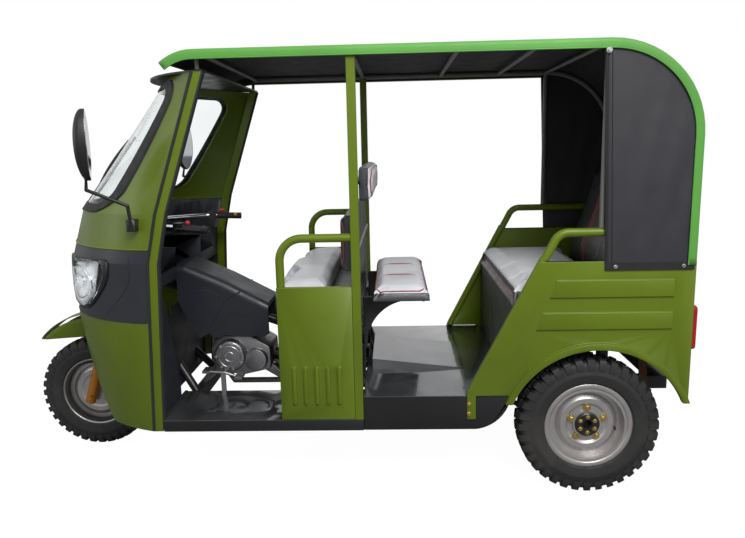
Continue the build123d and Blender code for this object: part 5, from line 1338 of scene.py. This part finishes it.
# Body trim outlines: (x, z) along the vehicle, (y, z) for the nose crease and the flap
ROLL_Y, ROLL_R = 0.532, 0.0165
ROLL_RUN = ((-0.861, 0.985), (-0.576, 0.436))
NOSE_CREASE = (
    (0.534, 1.008), (0.536, 0.960), (0.5345, 0.915), (0.525, 0.868), (0.510, 0.822), (0.487, 0.778),
)
FAIRING_Y = 0.138
FAIRING_CREASES = (
    ((0.690, 0.785), (0.590, 0.791), (0.515, 0.742), (0.440, 0.786)),
    ((0.515, 0.742), (0.594, 0.606)),
)
SKIRT_Y, SKIRT_THICK = 0.1335, 0.003
SKIRT = (
    (0.600, 0.592), (0.563, 0.606), (0.485, 0.692), (0.407, 0.662),
    (0.362, 0.574), (0.405, 0.566), (0.530, 0.574), (0.580, 0.560),
)
FLAP = ((-0.268, 0.336), (0.268, 0.336), (0.268, 0.600), (0.210, 0.730), (-0.210, 0.730), (-0.268, 0.600))
FLAP_X = (0.7440, 0.7475)
STAY_Y, STAY_THICK = 0.402, 0.008
STAY = ((-1.292, 0.535), (-1.324, 0.535), (-1.336, 0.395), (-1.304, 0.395))
# Wiper strands as (height, distance out from the nose) points
WIPER_Y = 0.040
WIPER_BLADE = ((1.290, 0.024), (1.340, 0.034), (1.430, 0.034), (1.480, 0.024))
WIPER_ARM = ((1.236, 0.012), (1.320, 0.028), (1.385, 0.033))


class RICKSHAW_OT_body_trim(bpy.types.Operator):
    """Rolled panel edges, creases, skirts, splash flap, floor strips, wiper blade and stays"""

    bl_idname = "rickshaw.body_trim"
    bl_label = "Body trim"

    def rolls(self):
        made = []
        for side in SIDES:
            made.append(tube("roll", [(x, side * ROLL_Y, z) for x, z in ROLL_RUN], ROLL_R, 16, straight=True))
        add_piece("panel_rolls", join(made), "paint", "body")

    def creases(self):
        made = []
        for side in SIDES:
            made.append(tube("crease", [on_cowl(side * y, z) for y, z in NOSE_CREASE], 0.0026, 8))
            for run in FAIRING_CREASES:
                points = [(x, side * FAIRING_Y, z) for x, z in run]
                made.append(tube("crease", points, 0.0022, 6, straight=True))
        add_piece("creases", join(made), "plastic", "body")

    def skirts(self):
        made = [plate(SKIRT, side * SKIRT_Y + SKIRT_THICK / 2, SKIRT_THICK) for side in SIDES]
        add_piece("fairing_skirts", join(made), "plastic", "body", smooth=False)

    def splash(self):
        flap = block(*[[(x, y, z) for y, z in FLAP] for x in FLAP_X])
        add_piece("splash_flap", flap, "plastic_black", "body", smooth=False)

    def strips(self):
        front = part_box("front_floor")[1]
        made = []
        for side in SIDES:
            run = [(front.x + 0.010, side * y, front.z - 0.008) for y in (0.200, 0.544)]
            made.append(tube("strip", run, 0.0120, 8, straight=True))
        add_piece("floor_strips", join(made), "rubber", "body")

    def wiper(self):
        blade = tube("blade", [on_cowl(WIPER_Y, z, out) for z, out in WIPER_BLADE], 0.0085, 10)
        arm = tube("arm", [on_cowl(WIPER_Y, z, out) for z, out in WIPER_ARM], 0.0050, 8)
        add_piece("wiper_blade", join([blade, arm]), "plastic_black", "body")

    def stays(self):
        made = [plate(STAY, side * STAY_Y + STAY_THICK / 2, STAY_THICK) for side in SIDES]
        add_piece("rear_stays", join(made), "rust", "body", smooth=False)

    def execute(self, context):
        self.rolls()
        self.creases()
        self.skirts()
        self.splash()
        self.strips()
        self.wiper()
        self.stays()
        return {"FINISHED"}


class RICKSHAW_OT_switches(bpy.types.Operator):
    """Coloured switch keys on the handlebar housings"""

    bl_idname = "rickshaw.switches"
    bl_label = "Switches"

    def execute(self, context):
        mesh = node_copy("controls")
        for side, word in SIDE_NAMES:
            low = Vector([min(v.co[k] for v in mesh.vertices if v.co.y * side > 0) for k in range(3)])
            high = Vector([max(v.co[k] for v in mesh.vertices if v.co.y * side > 0) for k in range(3)])
            middle = (low + high) / 2
            keys = {
                "red_switch": (Vector((middle.x, middle.y, high.z)), 0.011),
                "amber": (Vector((low.x, middle.y, middle.z)), 0.010),
            }
            for finish, (place, size) in keys.items():
                shape = bmesh.new()
                there = Matrix.Translation(place)
                bmesh.ops.create_icosphere(shape, subdivisions=2, radius=size, matrix=there)
                knob = bpy.data.meshes.new(finish)
                shape.to_mesh(knob)
                shape.free()
                add_piece(f"{finish}_{word}", knob, finish, "steering")
        return {"FINISHED"}


class RICKSHAW_OT_mirrors(bpy.types.Operator):
    """Mirror heads swivelled on their stalks towards the driver"""

    bl_idname = "rickshaw.mirrors"
    bl_label = "Mirrors"

    turn = math.radians(19)

    def execute(self, context):
        glass = node_copy("mirror_glass")
        near = [v.co for v in glass.vertices if v.co.y > 0]
        centre = sum(near, Vector()) / len(near)
        foot = min(co.z for co in near) - 0.012
        for node, mesh, finish, slot in (
            ("mirror_glass", glass, "mirror", "mirror"),
            ("mirrors", node_copy("mirrors"), "plastic_black", "dark_plastic"),
        ):
            for vertex in mesh.vertices:
                side = 1 if vertex.co.y > 0 else -1
                share = max(0.0, min(1.0, (vertex.co.z - foot) / 0.012))
                pivot = Vector((centre.x + 0.004, side * centre.y, 0))
                flat = vertex.co - pivot
                if share > 0:
                    reach = min(1.0, abs(vertex.co.z - centre.z) / (centre.z - foot))
                    flat.x *= 1.0 - 0.55 * share * reach**2.4
                vertex.co = pivot + Matrix.Rotation(side * self.turn * share, 3, "Z") @ flat
            piece = add_piece(f"swivelled_{node}", mesh, finish, "body")
            piece.data.set_sharp_from_angle(angle=math.radians(35))
            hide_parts(node)
        return {"FINISHED"}


DOOR_BEADS = (
    # forward of the cowl's rear edge, inward from its side, radius
    (-0.001, 0.000, 0.0065),
    (-0.041, 0.004, 0.0060),
    (-0.041, 0.022, 0.0055),
)
BEAD_FOOT_LIFT = 0.004


class RICKSHAW_OT_edge_trim(bpy.types.Operator):
    """Rubber beads along the door openings and the waist of the nose"""

    bl_idname = "rickshaw.edge_trim"
    bl_label = "Edge trim"

    def execute(self, context):
        made = []
        for side in SIDES:
            for ahead, inward, radius in DOOR_BEADS:
                points = [(x + ahead, side * (half - inward), z) for z, x, half, _ in COWL_EDGE]
                points[0] = (*points[0][:2], points[0][2] + BEAD_FOOT_LIFT)
                made.append(tube("bead", points, radius, 8, straight=True))
        add_piece("door_beads", join(made), "rubber", "body")
        self.lips()
        return {"FINISHED"}

    def lips(self):
        """Rolled lip of the scuttle and the seam under the dark band."""
        for name, level, radius, finish, slot in (
            ("scuttle_lip", BAND_TOP, 0.0042, "paint", "paint"),
            ("band_seam", BAND_FOOT, 0.0022, "plastic_black", "dark_plastic"),
        ):
            points = []
            for step in range(61):
                y = 0.548 * math.sin(math.pi / 2 * (step / 30 - 1))
                points.append(on_cowl(y, level))
            add_piece(name, tube(name, points, radius, 8), finish, "body")


PANEL_BOLT_Y = 0.5515
PANEL_BOLTS = ((-0.568, 0.350), (-0.568, 0.392))
ENGINE_COVER = Vector((0.507, 0.1535, 0.475))


class RICKSHAW_OT_fasteners(bpy.types.Operator):
    """Bolts and screws of the body panels"""

    bl_idname = "rickshaw.fasteners"
    bl_label = "Fasteners"

    def execute(self, context):
        places = []
        for side in SIDES:
            for x, z in PANEL_BOLTS:
                places.append((Vector((x, side * PANEL_BOLT_Y, z)), Vector((0, side, 0))))
        add_heads("panel_bolts", places, 0.0062, "zinc_gold", "body")
        left, ahead = Vector((0, 1, 0)), math.pi / 2
        bolts = [(place, left) for place in ring(ENGINE_COVER, 0.063, 7, ahead, -1)]
        add_heads("engine_bolts", bolts, 0.0048, "zinc", "body")
        rings = []
        for radius in (0.050, 0.022):
            rings.append(tube("ring", ring(ENGINE_COVER, radius, 28, ahead, -1), 0.0035, 8, closed=True))
        add_piece("engine_rings", join(rings), "zinc", "body")
        return {"FINISHED"}


FLOOR_TONE = 0.26
FLOOR_GLOW = 1.74
GLOW_SHARE = 0.56
GLOSSY_SHARE = 0.35
# Lamps: place, aim and breadth
KEY_LAMP = ((-1.6, 4.0, 4.6), (-0.2, 0.0, 0.7), 3.0)
FILL_LAMP = ((4.2, 1.6, 2.2), (0.2, 0.0, 0.8), 2.2)


class RICKSHAW_OT_stage(bpy.types.Operator):
    """Pale floor, soft lamps, white surround and the camera"""

    bl_idname = "rickshaw.stage"
    bl_label = "Stage"

    def seen(self, nodes, links):
        """Light path, and a one where the camera looks straight or through glass."""
        ray = nodes.new("ShaderNodeLightPath")
        either = nodes.new("ShaderNodeMath")
        either.operation = "MAXIMUM"
        links.new(ray.outputs["Is Camera Ray"], either.inputs[0])
        links.new(ray.outputs["Is Transmission Ray"], either.inputs[1])
        return ray, either.outputs["Value"]

    def floor(self):
        mesh = bpy.data.meshes.new("floor")
        reach = 40.0
        corners = [(x * reach, y * reach, 0) for x, y in ((-1, -1), (1, -1), (1, 1), (-1, 1))]
        mesh.from_pydata(corners, [], [(0, 1, 2, 3)])
        floor = bpy.data.objects.new("floor", mesh)
        bpy.context.scene.collection.objects.link(floor)
        material = bpy.data.materials.new("studio_floor")
        material.use_nodes = True
        nodes, links = material.node_tree.nodes, material.node_tree.links
        matt = nodes["Principled BSDF"]
        matt.inputs["Base Color"].default_value = (FLOOR_TONE, FLOOR_TONE, FLOOR_TONE, 1.0)
        matt.inputs["Roughness"].default_value = 0.9
        glow = nodes.new("ShaderNodeEmission")
        glow.inputs["Strength"].default_value = FLOOR_GLOW
        _, seen = self.seen(nodes, links)
        share = nodes.new("ShaderNodeMath")
        share.operation = "MULTIPLY"
        share.inputs[1].default_value = GLOW_SHARE
        links.new(seen, share.inputs[0])
        mix = nodes.new("ShaderNodeMixShader")
        links.new(share.outputs["Value"], mix.inputs["Fac"])
        links.new(matt.outputs["BSDF"], mix.inputs[1])
        links.new(glow.outputs["Emission"], mix.inputs[2])
        links.new(mix.outputs["Shader"], nodes["Material Output"].inputs["Surface"])
        mesh.materials.append(material)

    def surround(self):
        world = bpy.data.worlds.new("surround")
        bpy.context.scene.world = world
        world.use_nodes = True
        nodes, links = world.node_tree.nodes, world.node_tree.links
        sky = nodes["Background"]
        ray, seen = self.seen(nodes, links)
        glossy = nodes.new("ShaderNodeMath")
        glossy.operation = "MULTIPLY_ADD"
        glossy.inputs[1].default_value = GLOSSY_SHARE
        links.new(ray.outputs["Is Glossy Ray"], glossy.inputs[0])
        links.new(seen, glossy.inputs[2])
        strength = nodes.new("ShaderNodeMapRange")
        strength.inputs["To Min"].default_value = studio().sky
        strength.inputs["To Max"].default_value = 1.0
        links.new(glossy.outputs["Value"], strength.inputs["Value"])
        links.new(strength.outputs["Result"], sky.inputs["Strength"])
        sky.inputs["Color"].default_value = (1.0, 1.0, 1.0, 1.0)

    def lamp(self, name, place, aim, size, power):
        light = bpy.data.lights.new(name, "AREA")
        light.shape = "DISK"
        light.size = size
        light.energy = power
        lamp = bpy.data.objects.new(name, light)
        lamp.location = place
        lamp.rotation_euler = (Vector(aim) - Vector(place)).to_track_quat("-Z", "Y").to_euler()
        bpy.context.scene.collection.objects.link(lamp)

    def camera(self):
        shot = studio()
        yaw, pitch, roll = shot.yaw, shot.pitch, shot.roll
        ahead = Vector((math.sin(yaw) * math.cos(pitch), -math.cos(yaw) * math.cos(pitch), -math.sin(pitch)))
        level = Vector((-math.cos(yaw), -math.sin(yaw), 0.0))
        upright = level.cross(ahead)
        right = level * math.cos(roll) + upright * math.sin(roll)
        up = upright * math.cos(roll) - level * math.sin(roll)
        data = bpy.data.cameras.new("camera")
        data.lens = shot.lens
        data.sensor_width = 36.0
        data.clip_end = 200.0
        camera = bpy.data.objects.new("camera", data)
        turned = Matrix((right, up, -ahead)).transposed()
        camera.matrix_world = Matrix.Translation(Vector(shot.camera_place)) @ turned.to_4x4()
        bpy.context.scene.collection.objects.link(camera)
        bpy.context.scene.camera = camera

    def execute(self, context):
        context.scene.view_settings.view_transform = "Standard"
        self.floor()
        self.surround()
        self.lamp("key", *KEY_LAMP, studio().key)
        self.lamp("fill", *FILL_LAMP, studio().fill)
        self.camera()
        return {"FINISHED"}


PIECES = (
    RICKSHAW_OT_finishes,
    RICKSHAW_OT_tyres,
    RICKSHAW_OT_wheel_fittings,
    RICKSHAW_OT_seats,
    RICKSHAW_OT_canopy,
    RICKSHAW_OT_curtains,
    RICKSHAW_OT_edge_trim,
    RICKSHAW_OT_lamps,
    RICKSHAW_OT_mirrors,
    RICKSHAW_OT_soft_edges,
    RICKSHAW_OT_body_trim,
    RICKSHAW_OT_switches,
    RICKSHAW_OT_fasteners,
    RICKSHAW_OT_stage,
)


GROUPS = (
    ("rickshaw_colours", RickshawColours),
    ("rickshaw_sizes", RickshawSizes),
    ("rickshaw_studio", RickshawStudio),
)


class RICKSHAW_PT_panel(bpy.types.Panel):
    """Lists the steps that dress the rickshaw"""

    bl_idname = "RICKSHAW_PT_panel"
    bl_label = "Rickshaw"
    bl_space_type = "VIEW_3D"
    bl_region_type = "UI"
    bl_category = "Rickshaw"

    def draw(self, context):
        for step in PIECES:
            self.layout.operator(step.bl_idname)
        for attribute, group in GROUPS:
            box = self.layout.box()
            for name in group.__annotations__:
                box.prop(getattr(context.scene, attribute), name)


def register():
    for name, group in GROUPS:
        bpy.utils.register_class(group)
        setattr(bpy.types.Scene, name, PointerProperty(type=group))
    for step in (*PIECES, RICKSHAW_PT_panel):
        bpy.utils.register_class(step)


def unregister():
    for step in reversed((*PIECES, RICKSHAW_PT_panel)):
        bpy.utils.unregister_class(step)
    for name, group in reversed(GROUPS):
        delattr(bpy.types.Scene, name)
        bpy.utils.unregister_class(group)


def main():
    register()
    bpy.ops.rickshaw.finishes()
    bpy.ops.rickshaw.tyres()
    bpy.ops.rickshaw.wheel_fittings()
    bpy.ops.rickshaw.seats()
    bpy.ops.rickshaw.canopy()
    bpy.ops.rickshaw.curtains()
    bpy.ops.rickshaw.edge_trim()
    bpy.ops.rickshaw.lamps()
    bpy.ops.rickshaw.mirrors()
    bpy.ops.rickshaw.soft_edges()
    bpy.ops.rickshaw.body_trim()
    bpy.ops.rickshaw.switches()
    bpy.ops.rickshaw.fasteners()
    bpy.ops.rickshaw.stage()


if __name__ == "__main__":
    main()
